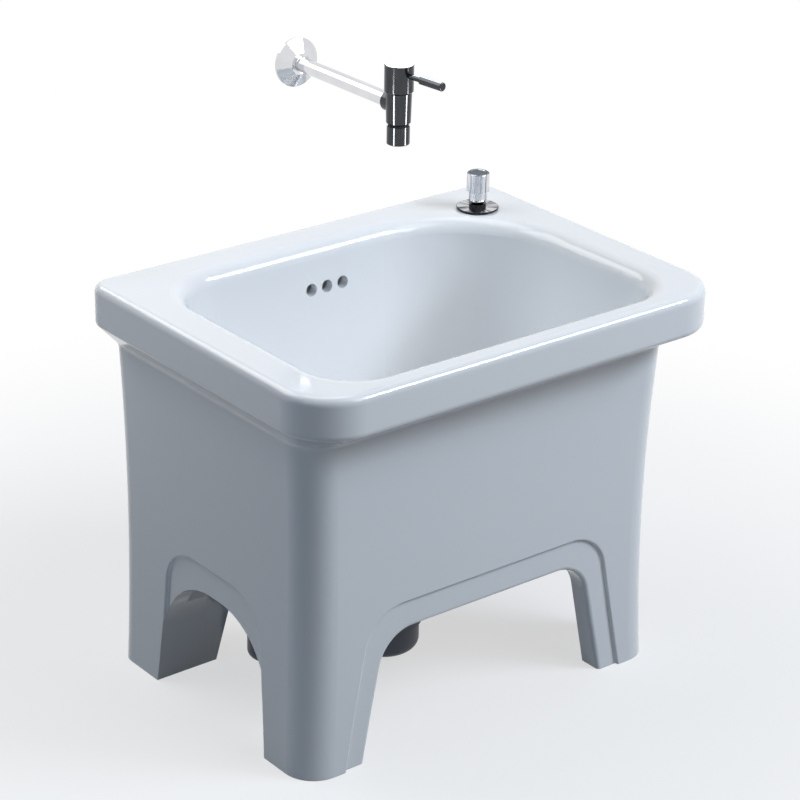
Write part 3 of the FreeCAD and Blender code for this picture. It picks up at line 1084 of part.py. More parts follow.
def make_trap():
    """Bottle trap: head with inlet and side outlet, screwed cup, slip nuts and soft rings."""
    cup = cylinder(TRAP_RADIUS, at(0, 0, TRAP_BOTTOM_Z), UP, TRAP_CUP_HEIGHT)
    cup = cup.makeFillet(TRAP_BOTTOM_ROUND, edges_at_height(cup, TRAP_BOTTOM_Z))
    inner = cylinder(TRAP_RADIUS - TRAP_WALL, at(0, 0, TRAP_BOTTOM_Z + TRAP_WALL), UP, TRAP_CUP_HEIGHT)
    inner = inner.makeFillet(TRAP_BOTTOM_ROUND - TRAP_WALL, edges_at_height(inner, TRAP_BOTTOM_Z + TRAP_WALL))
    cup = cup.cut(inner)
    cup_seal = ring(TRAP_RADIUS, TRAP_RADIUS - CUP_SEAL_WIDTH, 0, 0, HEAD_LOW, HEAD_LOW + CUP_SEAL_THICKNESS)

    ledge = HEAD_LOW + CUP_SEAL_THICKNESS
    head = cylinder(TRAP_HEAD_RADIUS, at(0, 0, HEAD_LOW - TRAP_HEAD_OVERLAP), UP, TRAP_HEAD_HEIGHT + TRAP_HEAD_OVERLAP)
    head = head.makeFillet(TRAP_HEAD_ROUND, edges_at_height(head, HEAD_TOP))
    head = head.fuse(cylinder(TRAP_NECK_RADIUS, at(0, 0, ledge), UP, TRAP_NECK_TOP - ledge))
    port = cylinder(OUTLET_NECK_RADIUS, at(OUTLET_NECK_START, 0, OUTLET_AXIS_Z), EAST,
                    OUTLET_PORT_REACH - OUTLET_NECK_START)
    head = head.fuse(port)
    room = cylinder(TRAP_RADIUS - TRAP_WALL, at(0, 0, ledge), UP, HEAD_TOP - TRAP_WALL - ledge)
    room = room.makeFillet(TRAP_HEAD_ROUND - TRAP_WALL, edges_at_height(room, HEAD_TOP - TRAP_WALL))
    head = head.cut(room)
    head = head.cut(cylinder(TRAP_RADIUS + THREAD_GAP, at(0, 0, HEAD_LOW - TRAP_HEAD_OVERLAP - OVERRUN), UP,
                             TRAP_HEAD_OVERLAP + OVERRUN + CUP_SEAL_THICKNESS))
    head = head.cut(cylinder(SLIP_BORE, at(0, 0, ledge), UP, TRAP_NECK_TOP - ledge + OVERRUN))
    head = head.cut(cylinder(OUTLET_PIPE_RADIUS + THREAD_GAP, at(OUTLET_NECK_START - OVERRUN, 0, OUTLET_AXIS_Z), EAST,
                             OUTLET_PORT_REACH + OVERRUN))
    inlet_nut, inlet_seal = slip_nut(TRAP_NUT_RADIUS, TRAP_NECK_RADIUS, TAIL_RADIUS, TRAP_NECK_TOP)
    outlet_nut, outlet_seal = slip_nut(OUTLET_NUT_RADIUS, OUTLET_NECK_RADIUS, OUTLET_PIPE_RADIUS, OUTLET_PORT_REACH)
    for part in (outlet_nut, outlet_seal):
        part.rotate(at(0, 0, 0), NORTH, 90)
        part.translate(at(0, 0, OUTLET_AXIS_Z))

    start = at(OUTLET_PORT_REACH - OUTLET_PIPE_INSERT, 0, OUTLET_AXIS_Z)
    bend = at(OUTLET_SPAN - OUTLET_BEND_RADIUS, 0, OUTLET_AXIS_Z)
    turn = OUTLET_BEND_RADIUS * (1 - math.sqrt(2) / 2)
    middle = at(OUTLET_SPAN - turn, 0, OUTLET_AXIS_Z - turn)
    drop = at(OUTLET_SPAN, 0, OUTLET_AXIS_Z - OUTLET_BEND_RADIUS)
    path = Part.Wire([Part.makeLine(start, bend), Part.Arc(bend, middle, drop).toShape(),
                      Part.makeLine(drop, at(OUTLET_SPAN, 0, 0))])
    pipe = path.makePipeShell([circle_wire(start, EAST, OUTLET_PIPE_RADIUS)], True, True)
    pipe = pipe.cut(path.makePipeShell([circle_wire(start, EAST, OUTLET_PIPE_RADIUS - OUTLET_PIPE_WALL)], True, True))
    boot = cylinder(BOOT_RADIUS, at(OUTLET_SPAN, 0, 0), UP, BOOT_HEIGHT)
    boot = boot.makeFillet(BOOT_TOP_ROUND, edges_at_height(boot, BOOT_HEIGHT))
    boot = boot.makeFillet(BOOT_FOOT_ROUND, edges_at_height(boot, 0))
    boot = boot.cut(cylinder(OUTLET_PIPE_RADIUS + JOINT_GAP, at(OUTLET_SPAN, 0, -OVERRUN), UP,
                             BOOT_HEIGHT + OVERRUN + OVERRUN))
    parts = {"trap_cup": cup, "cup_seal": cup_seal, "trap_head": head, "trap_inlet_nut": inlet_nut,
             "trap_inlet_seal": inlet_seal, "trap_outlet_nut": outlet_nut, "trap_outlet_seal": outlet_seal,
             "outlet_pipe": pipe, "floor_boot": boot}
    return {name: along_outlet(shape) for name, shape in parts.items()}


NOZZLE_TOP = TAP_OUTLET_Z + NOZZLE_HEIGHT
TAP_BODY_LOW = NOZZLE_TOP + TAP_GROOVE_HEIGHT
TAP_BODY_TOP = TAP_BODY_LOW + TAP_BODY_HEIGHT
TAP_NECK_TOP = TAP_BODY_TOP + TAP_NECK_HEIGHT
STEM_Z = TAP_BODY_LOW + STEM_AXIS_UP
CARTRIDGE_LOW = TAP_NECK_TOP - CARTRIDGE_HEIGHT
CARTRIDGE_TOP = TAP_NECK_TOP + CARTRIDGE_HEAD_HEIGHT
CAP_LOW = TAP_BODY_TOP + JOINT_GAP
CAP_TOP_Z = CAP_LOW + CAP_HEIGHT
HUB_LOW = CAP_TOP_Z - CAP_TOP - CAP_HUB_HEIGHT
LEVER_Z = CAP_TOP_Z - LEVER_BELOW_TOP
TAP_SPINDLE_TOP = CARTRIDGE_TOP + SPINDLE_TOP_UP


def tap_ring(outer, inner, low, high):
    return ring(outer, inner, TAP_X, TAP_Y, low, high)


def tap_bar(radius, y_from, length):
    """A round bar along +Y on the stem's axis."""
    return cylinder(radius, at(TAP_X, y_from, STEM_Z), NORTH, length)


def make_tap_outlet():
    nozzle = cylinder(NOZZLE_RADIUS, at(TAP_X, TAP_Y, TAP_OUTLET_Z), UP, NOZZLE_HEIGHT)
    nozzle = nozzle.makeFillet(NOZZLE_ROUND, edges_at_height(nozzle, TAP_OUTLET_Z))
    nozzle = nozzle.fuse(cylinder(NOZZLE_THREAD_RADIUS, at(TAP_X, TAP_Y, NOZZLE_TOP), UP,
                                  TAP_GROOVE_HEIGHT + NOZZLE_THREAD_LENGTH))
    nozzle = nozzle.cut(cylinder(NOZZLE_BORE, at(TAP_X, TAP_Y, TAP_OUTLET_Z - OVERRUN), UP,
                                 OVERRUN + NOZZLE_HEIGHT + TAP_GROOVE_HEIGHT + NOZZLE_THREAD_LENGTH + OVERRUN))
    washer = tap_ring(TAP_GROOVE_RADIUS, NOZZLE_THREAD_RADIUS + THREAD_GAP, NOZZLE_TOP, TAP_BODY_LOW)
    low = TAP_OUTLET_Z + AERATOR_RECESS - AERATOR_THICKNESS
    aerator = cylinder(NOZZLE_BORE, at(TAP_X, TAP_Y, low), UP, AERATOR_THICKNESS)
    distance = NOZZLE_BORE * AERATOR_RING_SHARE
    places = [(0, 0)]
    for index in range(AERATOR_RING_COUNT):
        angle = 2 * math.pi * index / AERATOR_RING_COUNT
        places.append((distance * math.cos(angle), distance * math.sin(angle)))
    for dx, dy in places:
        aerator = aerator.cut(cylinder(AERATOR_HOLE_RADIUS, at(TAP_X + dx, TAP_Y + dy, low - OVERRUN), UP,
                                       AERATOR_THICKNESS + OVERRUN + OVERRUN))
    return nozzle, washer, aerator


def make_tap_body():
    """Tapered tap body with its side boss, cartridge seat and outlet thread."""
    profile = [(0, TAP_BODY_LOW), (TAP_BODY_LOWER_RADIUS - TAP_BODY_CHAMFER, TAP_BODY_LOW),
               (TAP_BODY_LOWER_RADIUS, TAP_BODY_LOW + TAP_BODY_CHAMFER), (TAP_BODY_UPPER_RADIUS, TAP_BODY_TOP),
               (TAP_NECK_RADIUS, TAP_BODY_TOP), (TAP_NECK_RADIUS, TAP_NECK_TOP), (0, TAP_NECK_TOP)]
    body = turned(profile, TAP_X, TAP_Y)
    body = body.fuse(tap_bar(STEM_BOSS_RADIUS, TAP_Y, STEM_BOSS_REACH))
    body = body.cut(cylinder(CARTRIDGE_RADIUS + THREAD_GAP, at(TAP_X, TAP_Y, CARTRIDGE_LOW), UP,
                             CARTRIDGE_HEIGHT + OVERRUN))
    body = body.cut(cylinder(TAP_WATERWAY, at(TAP_X, TAP_Y, TAP_BODY_LOW), UP, TAP_BODY_HEIGHT))
    body = body.cut(cylinder(NOZZLE_THREAD_RADIUS + THREAD_GAP, at(TAP_X, TAP_Y, TAP_BODY_LOW - OVERRUN), UP,
                             OVERRUN + NOZZLE_THREAD_LENGTH))
    socket = TAP_Y + STEM_BOSS_REACH - STEM_SPIGOT_LENGTH - STEM_SEAL_THICKNESS
    body = body.cut(tap_bar(STEM_SPIGOT_RADIUS + THREAD_GAP, socket, STEM_SPIGOT_LENGTH + OVERRUN))
    return body.cut(tap_bar(STEM_BORE, TAP_Y, STEM_BOSS_REACH + OVERRUN))


def make_tap_stem():
    """Horizontal supply stem with its wall thread, the soft ring in the body and the wall flange."""
    joint = TAP_Y + STEM_BOSS_REACH
    stem = tap_bar(STEM_RADIUS, joint, WALL_Y - joint)
    stem = stem.fuse(tap_bar(STEM_SPIGOT_RADIUS, joint - STEM_SPIGOT_LENGTH, STEM_SPIGOT_LENGTH + TOUCH))
    stem = stem.fuse(tap_bar(STEM_COLLAR_RADIUS, WALL_Y - STEM_COLLAR_LENGTH, STEM_COLLAR_LENGTH))
    stem = stem.fuse(tap_bar(INLET_THREAD_RADIUS, WALL_Y, TAIL_THREAD_LENGTH))
    stem = stem.cut(tap_bar(STEM_BORE, TAP_Y, TAP_REACH + TAIL_THREAD_LENGTH + OVERRUN))
    seal = tap_bar(STEM_SPIGOT_RADIUS, joint - STEM_SPIGOT_LENGTH - STEM_SEAL_THICKNESS, STEM_SEAL_THICKNESS)
    seal = seal.cut(tap_bar(STEM_BORE, TAP_Y, TAP_REACH))
    bore = STEM_COLLAR_RADIUS + JOINT_GAP
    outline = [(bore, 0), (WALL_FLANGE_NOSE, 0), (WALL_FLANGE_RADIUS, WALL_FLANGE_HEIGHT - WALL_FLANGE_EDGE),
               (WALL_FLANGE_RADIUS, WALL_FLANGE_HEIGHT), (WALL_FLANGE_RADIUS - WALL_FLANGE_WALL, WALL_FLANGE_HEIGHT),
               (WALL_FLANGE_RADIUS - WALL_FLANGE_WALL, WALL_FLANGE_HEIGHT - WALL_FLANGE_EDGE + WALL_FLANGE_WALL),
               (WALL_FLANGE_NOSE, WALL_FLANGE_WALL), (bore, WALL_FLANGE_WALL)]
    flange = turned(outline, 0, 0)
    flange.rotate(at(0, 0, 0), EAST, -90)
    flange.translate(at(TAP_X, WALL_Y - WALL_FLANGE_HEIGHT, STEM_Z))
    return stem, seal, flange


def make_cartridge():
    x, y = TAP_X, TAP_Y
    body = cylinder(CARTRIDGE_RADIUS, at(x, y, CARTRIDGE_LOW), UP, CARTRIDGE_HEIGHT)
    body = body.fuse(cylinder(CARTRIDGE_HEAD_RADIUS, at(x, y, TAP_NECK_TOP), UP, CARTRIDGE_HEAD_HEIGHT))
    inner = CARTRIDGE_RADIUS - CARTRIDGE_WALL
    body = body.cut(cylinder(inner, at(x, y, CARTRIDGE_LOW - OVERRUN), UP, OVERRUN + CARTRIDGE_BORE_DEPTH))
    body = body.cut(cylinder(SPINDLE_SHAFT_RADIUS + RUNNING_GAP, at(x, y, CARTRIDGE_LOW), UP,
                             CARTRIDGE_HEIGHT + CARTRIDGE_HEAD_HEIGHT + OVERRUN))
    inlet = tap_bar(STEM_BORE / 2, TAP_Y, STEM_BOSS_REACH + OVERRUN)
    inlet.translate(at(0, 0, CARTRIDGE_LOW + CARTRIDGE_INLET_UP - STEM_Z))
    body = body.cut(inlet)
    seal_top = CARTRIDGE_LOW + CARTRIDGE_SEAL_HEIGHT
    seal = ring(DISC_SEAL_OUTER, DISC_SEAL_INNER, x, y, CARTRIDGE_LOW, seal_top)
    fixed_top = seal_top + DISC_THICKNESS
    fixed = cylinder(FIXED_DISC_RADIUS, at(x, y, seal_top), UP, DISC_THICKNESS)
    moving_low = fixed_top + DISC_GAP
    moving_top = moving_low + DISC_THICKNESS
    moving = cylinder(MOVING_DISC_RADIUS, at(x, y, moving_low), UP, DISC_THICKNESS)
    for side in (-1, 1):
        port = cylinder(DISC_PORT_RADIUS, at(x + side * DISC_PORT_OFFSET, y, CARTRIDGE_LOW), UP,
                        CARTRIDGE_HEIGHT)
        fixed = fixed.cut(port)
        turned_port = cylinder(DISC_PORT_RADIUS, at(x, y + side * DISC_PORT_OFFSET, CARTRIDGE_LOW), UP,
                               CARTRIDGE_HEIGHT)
        moving = moving.cut(turned_port)
    spindle = cylinder(SPINDLE_FOOT_RADIUS, at(x, y, moving_top), UP, SPINDLE_FOOT_HEIGHT)
    spindle = spindle.fuse(cylinder(SPINDLE_SHAFT_RADIUS, at(x, y, moving_top), UP, TAP_SPINDLE_TOP - moving_top))
    return body, seal, fixed, moving, spindle


def make_handle():
    """Turned cap, round lever with its grip, and the screw that holds the cap on the spindle."""
    cap = cylinder(CAP_RADIUS, at(0, 0, CAP_LOW), UP, CAP_HEIGHT)
    cap = cap.makeChamfer(CAP_FOOT_CHAMFER, edges_at_height(cap, CAP_LOW))
    cap = cap.makeFillet(CAP_TOP_ROUND, edges_at_height(cap, CAP_TOP_Z))
    hollow = cylinder(CAP_RADIUS - CAP_WALL, at(0, 0, CAP_LOW - OVERRUN), UP, OVERRUN + CAP_HEIGHT - CAP_TOP)
    hollow = hollow.cut(cylinder(CAP_HUB_RADIUS, at(0, 0, HUB_LOW), UP, CAP_HUB_HEIGHT))
    cap = cap.cut(hollow)
    cap = cap.cut(cylinder(SPINDLE_SHAFT_RADIUS, at(0, 0, HUB_LOW - OVERRUN), UP, OVERRUN + TAP_SPINDLE_TOP - HUB_LOW))
    cap = cap.cut(cylinder(LEVER_ROD_RADIUS, at(LEVER_ROD_START, 0, LEVER_Z), EAST, CAP_RADIUS + OVERRUN))
    cap = cap.cut(cylinder(GRUB_RADIUS, at(0, 0, LEVER_Z), EAST.negative(), CAP_RADIUS + OVERRUN))
    rod = cylinder(LEVER_ROD_RADIUS, at(LEVER_ROD_START, 0, LEVER_Z), EAST,
                   LEVER_GRIP_START + LEVER_GRIP_SOCKET - LEVER_ROD_START)
    grip = cylinder(LEVER_GRIP_RADIUS, at(LEVER_GRIP_START, 0, LEVER_Z), EAST, LEVER_GRIP_REACH - LEVER_GRIP_START)
    ends = [edge for edge in grip.Edges if edge.BoundBox.XLength < TOUCH]
    grip = grip.makeFillet(LEVER_GRIP_ROUND, ends)
    grip = grip.cut(rod)
    screw = cylinder(GRUB_RADIUS, at(-SPINDLE_SHAFT_RADIUS - TOUCH, 0, LEVER_Z), EAST.negative(), CAP_GRUB_LENGTH)
    socket = at(GRUB_SOCKET_DEPTH - SPINDLE_SHAFT_RADIUS - CAP_GRUB_LENGTH, 0, LEVER_Z)
    screw = screw.cut(cylinder(GRUB_SOCKET_RADIUS, socket, EAST.negative(), GRUB_SOCKET_DEPTH + OVERRUN))
    pieces = []
    for shape in (cap, rod, grip, screw):
        shape.rotate(at(0, 0, 0), UP, LEVER_YAW - 90)
        shape.translate(at(TAP_X, TAP_Y, 0))
        pieces.append(shape)
    return pieces


pieces = {"ceramic_body": make_ceramic_body(), "waste_flange": make_waste_flange()}
pieces["flange_gasket"], pieces["under_washer"], pieces["slip_ring"], pieces["back_nut"] = make_waste_fixings()
pieces["waste_plug"], pieces["plug_seal"] = make_waste_plug()
pieces["lift_housing"] = make_lift_housing()
pieces["lift_crank"] = make_crank()
pieces["crank_pin"] = make_crank_pin()
pieces["housing_cover"] = make_housing_cover()
pieces["cable_gland"] = make_cable_gland()
pieces["pull_wire"] = make_pull_wire()
pieces["cable_sheath"] = make_cable_sheath()
pieces.update(make_control())
pieces["drain_knob"], pieces["knob_grub_screw"] = make_knob()
pieces.update(make_trap())
pieces["tap_nozzle"], pieces["nozzle_washer"], pieces["aerator"] = make_tap_outlet()
pieces["tap_body"] = make_tap_body()
pieces["tap_stem"], pieces["stem_seal"], pieces["tap_wall_flange"] = make_tap_stem()
pieces["cartridge_body"], pieces["cartridge_seal"], pieces["fixed_disc"], pieces["moving_disc"], \
    pieces["cartridge_spindle"] = make_cartridge()
pieces["handle_cap"], pieces["lever_rod"], pieces["lever_grip"], pieces["handle_grub_screw"] = make_handle()
for name, shape in pieces.items():
    export(shape, name)
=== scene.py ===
"""The mop sink in its studio: every CAD piece gets its finish here, and the added cover strip moves with the
sink's body.
"""
import math

import bmesh
import bpy
from mathutils import Matrix, Vector


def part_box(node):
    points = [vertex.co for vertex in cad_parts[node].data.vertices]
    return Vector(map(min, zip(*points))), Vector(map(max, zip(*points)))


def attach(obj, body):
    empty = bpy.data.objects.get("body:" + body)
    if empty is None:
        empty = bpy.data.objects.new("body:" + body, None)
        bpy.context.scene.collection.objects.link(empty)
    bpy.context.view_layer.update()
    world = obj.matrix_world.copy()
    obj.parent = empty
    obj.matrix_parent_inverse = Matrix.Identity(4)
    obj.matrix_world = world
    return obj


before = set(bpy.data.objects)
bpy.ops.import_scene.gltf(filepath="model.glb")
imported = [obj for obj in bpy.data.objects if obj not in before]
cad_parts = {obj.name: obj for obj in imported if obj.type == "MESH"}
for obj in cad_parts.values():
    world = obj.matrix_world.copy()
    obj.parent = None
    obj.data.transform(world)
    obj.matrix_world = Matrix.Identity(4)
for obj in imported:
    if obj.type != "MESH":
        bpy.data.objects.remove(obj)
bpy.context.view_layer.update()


# Ceramic body
# One casting of vitreous fireclay, dipped in a cool white glaze and fired once.
# The glaze is thick and glossy, pulls a little like orange peel, and is wiped off the soles.
class Socket:
    """A shader socket that adds Math nodes when it stands in an expression."""

    def __init__(self, finish, socket):
        self.finish = finish
        self.socket = socket

    def math(self, operation, *terms):
        return self.finish.node("ShaderNodeMath", {"operation": operation}, dict(enumerate(terms)))

    def __add__(self, other):
        return self.math("ADD", self, other)

    def __radd__(self, other):
        return self.math("ADD", other, self)

    def __mul__(self, other):
        return self.math("MULTIPLY", self, other)

    def __rmul__(self, other):
        return self.math("MULTIPLY", other, self)

    def __pow__(self, other):
        return self.math("POWER", self, other)

    def __lt__(self, other):
        return self.math("LESS_THAN", self, other)

    def __gt__(self, other):
        return self.math("GREATER_THAN", self, other)


class Finish:
    """One material: node() adds a node, and surface() ends it in a Principled shader."""

    TONE_START = 0.3
    TONE_END = 0.7

    def __init__(self, name):
        self.material = bpy.data.materials.new(name)
        self.material.use_nodes = True
        self.tree = self.material.node_tree
        self.tree.nodes.clear()

    def node(self, kind, settings, values, output=0):
        """Adds a node: its settings first, then the values or links of its sockets."""
        made = self.tree.nodes.new(kind)
        for name, setting in settings.items():
            if name == "stops":
                ramp = made.color_ramp
                while len(ramp.elements) < len(setting):
                    ramp.elements.new(1.0)
                for element, (place, colour) in zip(ramp.elements, setting):
                    element.position = place
                    element.color = (*colour, 1.0)
            else:
                setattr(made, name, setting)
        for name, value in values.items():
            if isinstance(value, Socket):
                self.tree.links.new(value.socket, made.inputs[name])
            else:
                made.inputs[name].default_value = value
        return Socket(self, made.outputs[output])

    def place(self):
        return self.node("ShaderNodeTexCoord", {}, {}, "Object")

    def stretched(self, scale):
        """Object coordinates with a scale for each axis, for brushing and turning marks."""
        return self.node("ShaderNodeMapping", {}, {"Vector": self.place(), "Scale": scale})

    def axis(self, vector, name):
        return self.node("ShaderNodeSeparateXYZ", {}, {"Vector": vector}, name)

    def turned(self, piece):
        """A point's place from the foot of a turned piece's own axis, and its distance from that axis."""
        low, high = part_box(piece)
        foot = (-(low[0] + high[0]) / 2.0, -(low[1] + high[1]) / 2.0, -low[2])
        place = self.node("ShaderNodeMapping", {}, {"Vector": self.place(), "Location": foot})
        across = self.axis(place, "X")
        along = self.axis(place, "Y")
        return place, (across * across + along * along) ** 0.5

    def noise(self, scale, detail, vector=None):
        values = {"Vector": vector or self.place(), "Scale": scale, "Detail": detail}
        return self.node("ShaderNodeTexNoise", {}, values, "Fac")

    def ramp(self, factor, *stops):
        return self.node("ShaderNodeValToRGB", {"stops": stops}, {"Fac": factor})

    def clouded(self, factor, tones):
        """Two tones that run into each other as the factor rises."""
        first, second = tones
        return self.ramp(factor, (self.TONE_START, first), (self.TONE_END, second))

    def mix(self, factor, first, second):
        """Mixes two colours: 6 and 7 are the Mix node's colour inputs, and 2 is its colour output."""
        return self.node("ShaderNodeMix", {"data_type": "RGBA"}, {0: factor, 6: first, 7: second}, 2)

    def bump(self, height, distance, strength, **values):
        values.update({"Height": height, "Distance": distance, "Strength": strength})
        return self.node("ShaderNodeBump", {}, values)

    def surface(self, **values):
        """Ends the material in a Principled shader, with its sockets' names written as words."""
        named = {}
        for name, value in values.items():
            named[name.replace("_", " ").title().replace("Ior", "IOR")] = value
        self.node_out(self.node("ShaderNodeBsdfPrincipled", {}, named))
        return self.material

    def node_out(self, shader):
        made = self.tree.nodes.new("ShaderNodeOutputMaterial")
        self.tree.links.new(shader.socket, made.inputs["Surface"])


def dress(material, *names):
    """Gives the named CAD pieces their finish."""
    for name in names:
        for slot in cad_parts[name].material_slots:
            slot.material = material


GLAZE_SOLE_HEIGHT = 0.0004
GLAZE_EDGE_PULL = 0.001
GLAZE_PEEL = 0.0005
GLAZE_TONES = ((0.855, 0.868, 0.882), (0.872, 0.884, 0.896))
BARE_CLAY = (0.62, 0.58, 0.52, 1.0)
glaze = Finish("white_glaze")
sole = glaze.axis(glaze.place(), "Z") < GLAZE_SOLE_HEIGHT
cloud = glaze.clouded(glaze.noise(2.2, 3.0), GLAZE_TONES)
soft_edge = glaze.node("ShaderNodeBevel", {"samples": 6}, {"Radius": GLAZE_EDGE_PULL})
peel = glaze.noise(28.0, 1.0) + glaze.noise(9.0, 1.0) * 2.0
white_glaze = glaze.surface(
    base_color=glaze.mix(sole, cloud, BARE_CLAY),
    roughness=0.10 + sole * 0.65 + glaze.noise(60.0, 2.0) * 0.04,
    ior=1.52,
    coat_weight=0.35,
    coat_roughness=0.04,
    normal=glaze.bump(peel, GLAZE_PEEL, 0.25, Normal=soft_edge),
)
dress(white_glaze, "ceramic_body")


# Cover strip at the foot of the basin's rear wall
# The real basin is closed here, but the solid has a low slot where the drain's dish runs on under the wall.
# This glazed strip only covers the slot's mouth. It is no piece of the real sink.
STRIP_HALF_WIDTH = 0.104
STRIP_FRONT = 0.0785
STRIP_CREST = 0.0893
STRIP_BACK = 0.110
STRIP_UNDERSIDE = 0.2128
STRIP_SECTION = (
    (STRIP_FRONT, 0.2158),
    (STRIP_CREST, 0.22198),
    (STRIP_BACK, 0.22195),
    (STRIP_BACK, STRIP_UNDERSIDE),
    (STRIP_FRONT, STRIP_UNDERSIDE),
)
strip_mesh = bmesh.new()
strip_section = [strip_mesh.verts.new((-STRIP_HALF_WIDTH, along, high)) for along, high in STRIP_SECTION]
drawn = bmesh.ops.extrude_face_region(strip_mesh, geom=[strip_mesh.faces.new(strip_section)])
far_end = [item for item in drawn["geom"] if isinstance(item, bmesh.types.BMVert)]
bmesh.ops.translate(strip_mesh, verts=far_end, vec=(STRIP_HALF_WIDTH * 2.0, 0.0, 0.0))
bmesh.ops.recalc_face_normals(strip_mesh, faces=strip_mesh.faces)
strip_data = bpy.data.meshes.new("basin_foot_glaze")
strip_mesh.to_mesh(strip_data)
strip_mesh.free()
basin_foot_glaze = bpy.data.objects.new("basin_foot_glaze", strip_data)
bpy.context.scene.collection.objects.link(basin_foot_glaze)
strip_data.materials.append(white_glaze)
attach(basin_foot_glaze, "sink")


# Waste, plug and back nut
# Chromed brass outlet with a domed plug, clamped through the basin by rubbers and a brass nut.
# The same chrome, brass and rubber finish the tap's stem and cartridge and the other seals.
CHROME_TONES = ((0.66, 0.67, 0.69), (0.74, 0.75, 0.77))
chrome = Finish("polished_chrome")
wipe = chrome.noise(35.0, 4.0)
polished_chrome = chrome.surface(
    base_color=chrome.clouded(wipe, CHROME_TONES),
    metallic=1.0,
    roughness=0.045 + wipe * 0.05,
)
dress(polished_chrome, "waste_flange", "waste_plug", "tap_stem", "tap_wall_flange")

SKIN_RELIEF = 0.0002
BRASS_TONES = ((0.60, 0.44, 0.20), (0.72, 0.56, 0.28))
brass = Finish("turned_brass")
turning = brass.noise(90.0, 2.0, brass.stretched((1.0, 1.0, 12.0)))
turned_brass = brass.surface(
    base_color=brass.clouded(turning, BRASS_TONES),
    metallic=1.0,
    roughness=0.26 + turning * 0.14,
    normal=brass.bump(turning, SKIN_RELIEF, 0.3),
)
dress(turned_brass, "back_nut", "cartridge_body", "cartridge_spindle")

RUBBER_TONES = ((0.018, 0.018, 0.020), (0.034, 0.034, 0.036))
rubber = Finish("black_rubber")
grain = rubber.noise(220.0, 3.0)
black_rubber = rubber.surface(
    base_color=rubber.clouded(grain, RUBBER_TONES),
    roughness=0.62 + grain * 0.2,
    normal=rubber.bump(grain, SKIN_RELIEF, 0.4),
)
dress(black_rubber, "flange_gasket", "under_washer", "plug_seal", "deck_gasket", "control_washer",
      "spindle_seal", "trap_inlet_seal", "cup_seal", "trap_outlet_seal", "stem_seal", "nozzle_washer",
      "cartridge_seal")


# Drain knob
# Cast and chromed lobed knob on a chromed control, held over the deck by a chromed flange and a nut.
KNOB_CAP_DROP = 0.0016
KNOB_TONES = ((0.72, 0.73, 0.76), (0.80, 0.81, 0.84))
# Painted dark reflection: the knob's dished top gets a grey base colour for the dark that its chrome
# reflects.
KNOB_CAP_PAINTED_REFLECTION = (0.34, 0.36, 0.39, 1.0)
# Painted dark reflection: a dark edge tint darkens the knob's chrome at grazing angles, at its sides and
# flute edges.
KNOB_EDGE_PAINTED_DARK_TINT = (0.22, 0.23, 0.26, 1.0)
bright = Finish("bright_knob_chrome")
wipe = bright.noise(60.0, 3.0)
knob_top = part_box("drain_knob")[1][2]
# Marks the dished top that carries the painted dark reflection.
on_cap = bright.axis(bright.place(), "Z") > knob_top - KNOB_CAP_DROP
shine = bright.clouded(wipe, KNOB_TONES)
bright_knob_chrome = bright.surface(
    base_color=bright.mix(on_cap, shine, KNOB_CAP_PAINTED_REFLECTION),
    metallic=1.0,
    roughness=0.05 + wipe * 0.04,
    specular_tint=KNOB_EDGE_PAINTED_DARK_TINT,
)
dress(bright_knob_chrome, "drain_knob")

FLANGE_RIM = 0.0007
# Painted reflection: a dark rim and dark and light radial streaks stand for what the chrome flange reflects.
FLANGE_RIM_PAINTED_REFLECTION = (0.03, 0.03, 0.035, 1.0)
FLANGE_DARK_PAINTED_REFLECTION = (0.40, (0.05, 0.055, 0.065))
FLANGE_LIGHT_PAINTED_REFLECTION = (0.56, (0.60, 0.61, 0.63))
flange_finish = Finish("flange_chrome_painted_reflection")
place, radius = flange_finish.turned("deck_flange")
flange_low, flange_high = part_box("deck_flange")
flange_radius = (flange_high[0] - flange_low[0]) / 2.0
ray = flange_finish.node("ShaderNodeVectorMath", {"operation": "NORMALIZE"}, {0: place})
# The radial streaks of the painted reflection run out from the flange's axis.
painted_reflection_streak = flange_finish.noise(6.0, 5.0, ray)
rim = radius > flange_radius - FLANGE_RIM
painted_reflection_tone = flange_finish.ramp(painted_reflection_streak, FLANGE_DARK_PAINTED_REFLECTION, FLANGE_LIGHT_PAINTED_REFLECTION)
flange_chrome_painted_reflection = flange_finish.surface(
    base_color=flange_finish.mix(rim, painted_reflection_tone, FLANGE_RIM_PAINTED_REFLECTION),
    metallic=1.0,
    roughness=0.10 + painted_reflection_streak * 0.08,
)
dress(flange_chrome_painted_reflection, "deck_flange")

# Painted shade and painted dark reflection: the collar nut, the control body and its spindle are chrome
# painted near black for the shade under the knob and the dark they reflect.
CHROME_PAINTED_SHADE_TONES = ((0.030, 0.030, 0.034), (0.055, 0.055, 0.060))
dark = Finish("chrome_painted_shade")
wipe = dark.noise(80.0, 3.0)
chrome_painted_shade = dark.surface(
    base_color=dark.clouded(wipe, CHROME_PAINTED_SHADE_TONES),
    metallic=1.0,
    roughness=0.07 + wipe * 0.05,
)
dress(chrome_painted_shade, "collar_nut", "control_body", "control_spindle")


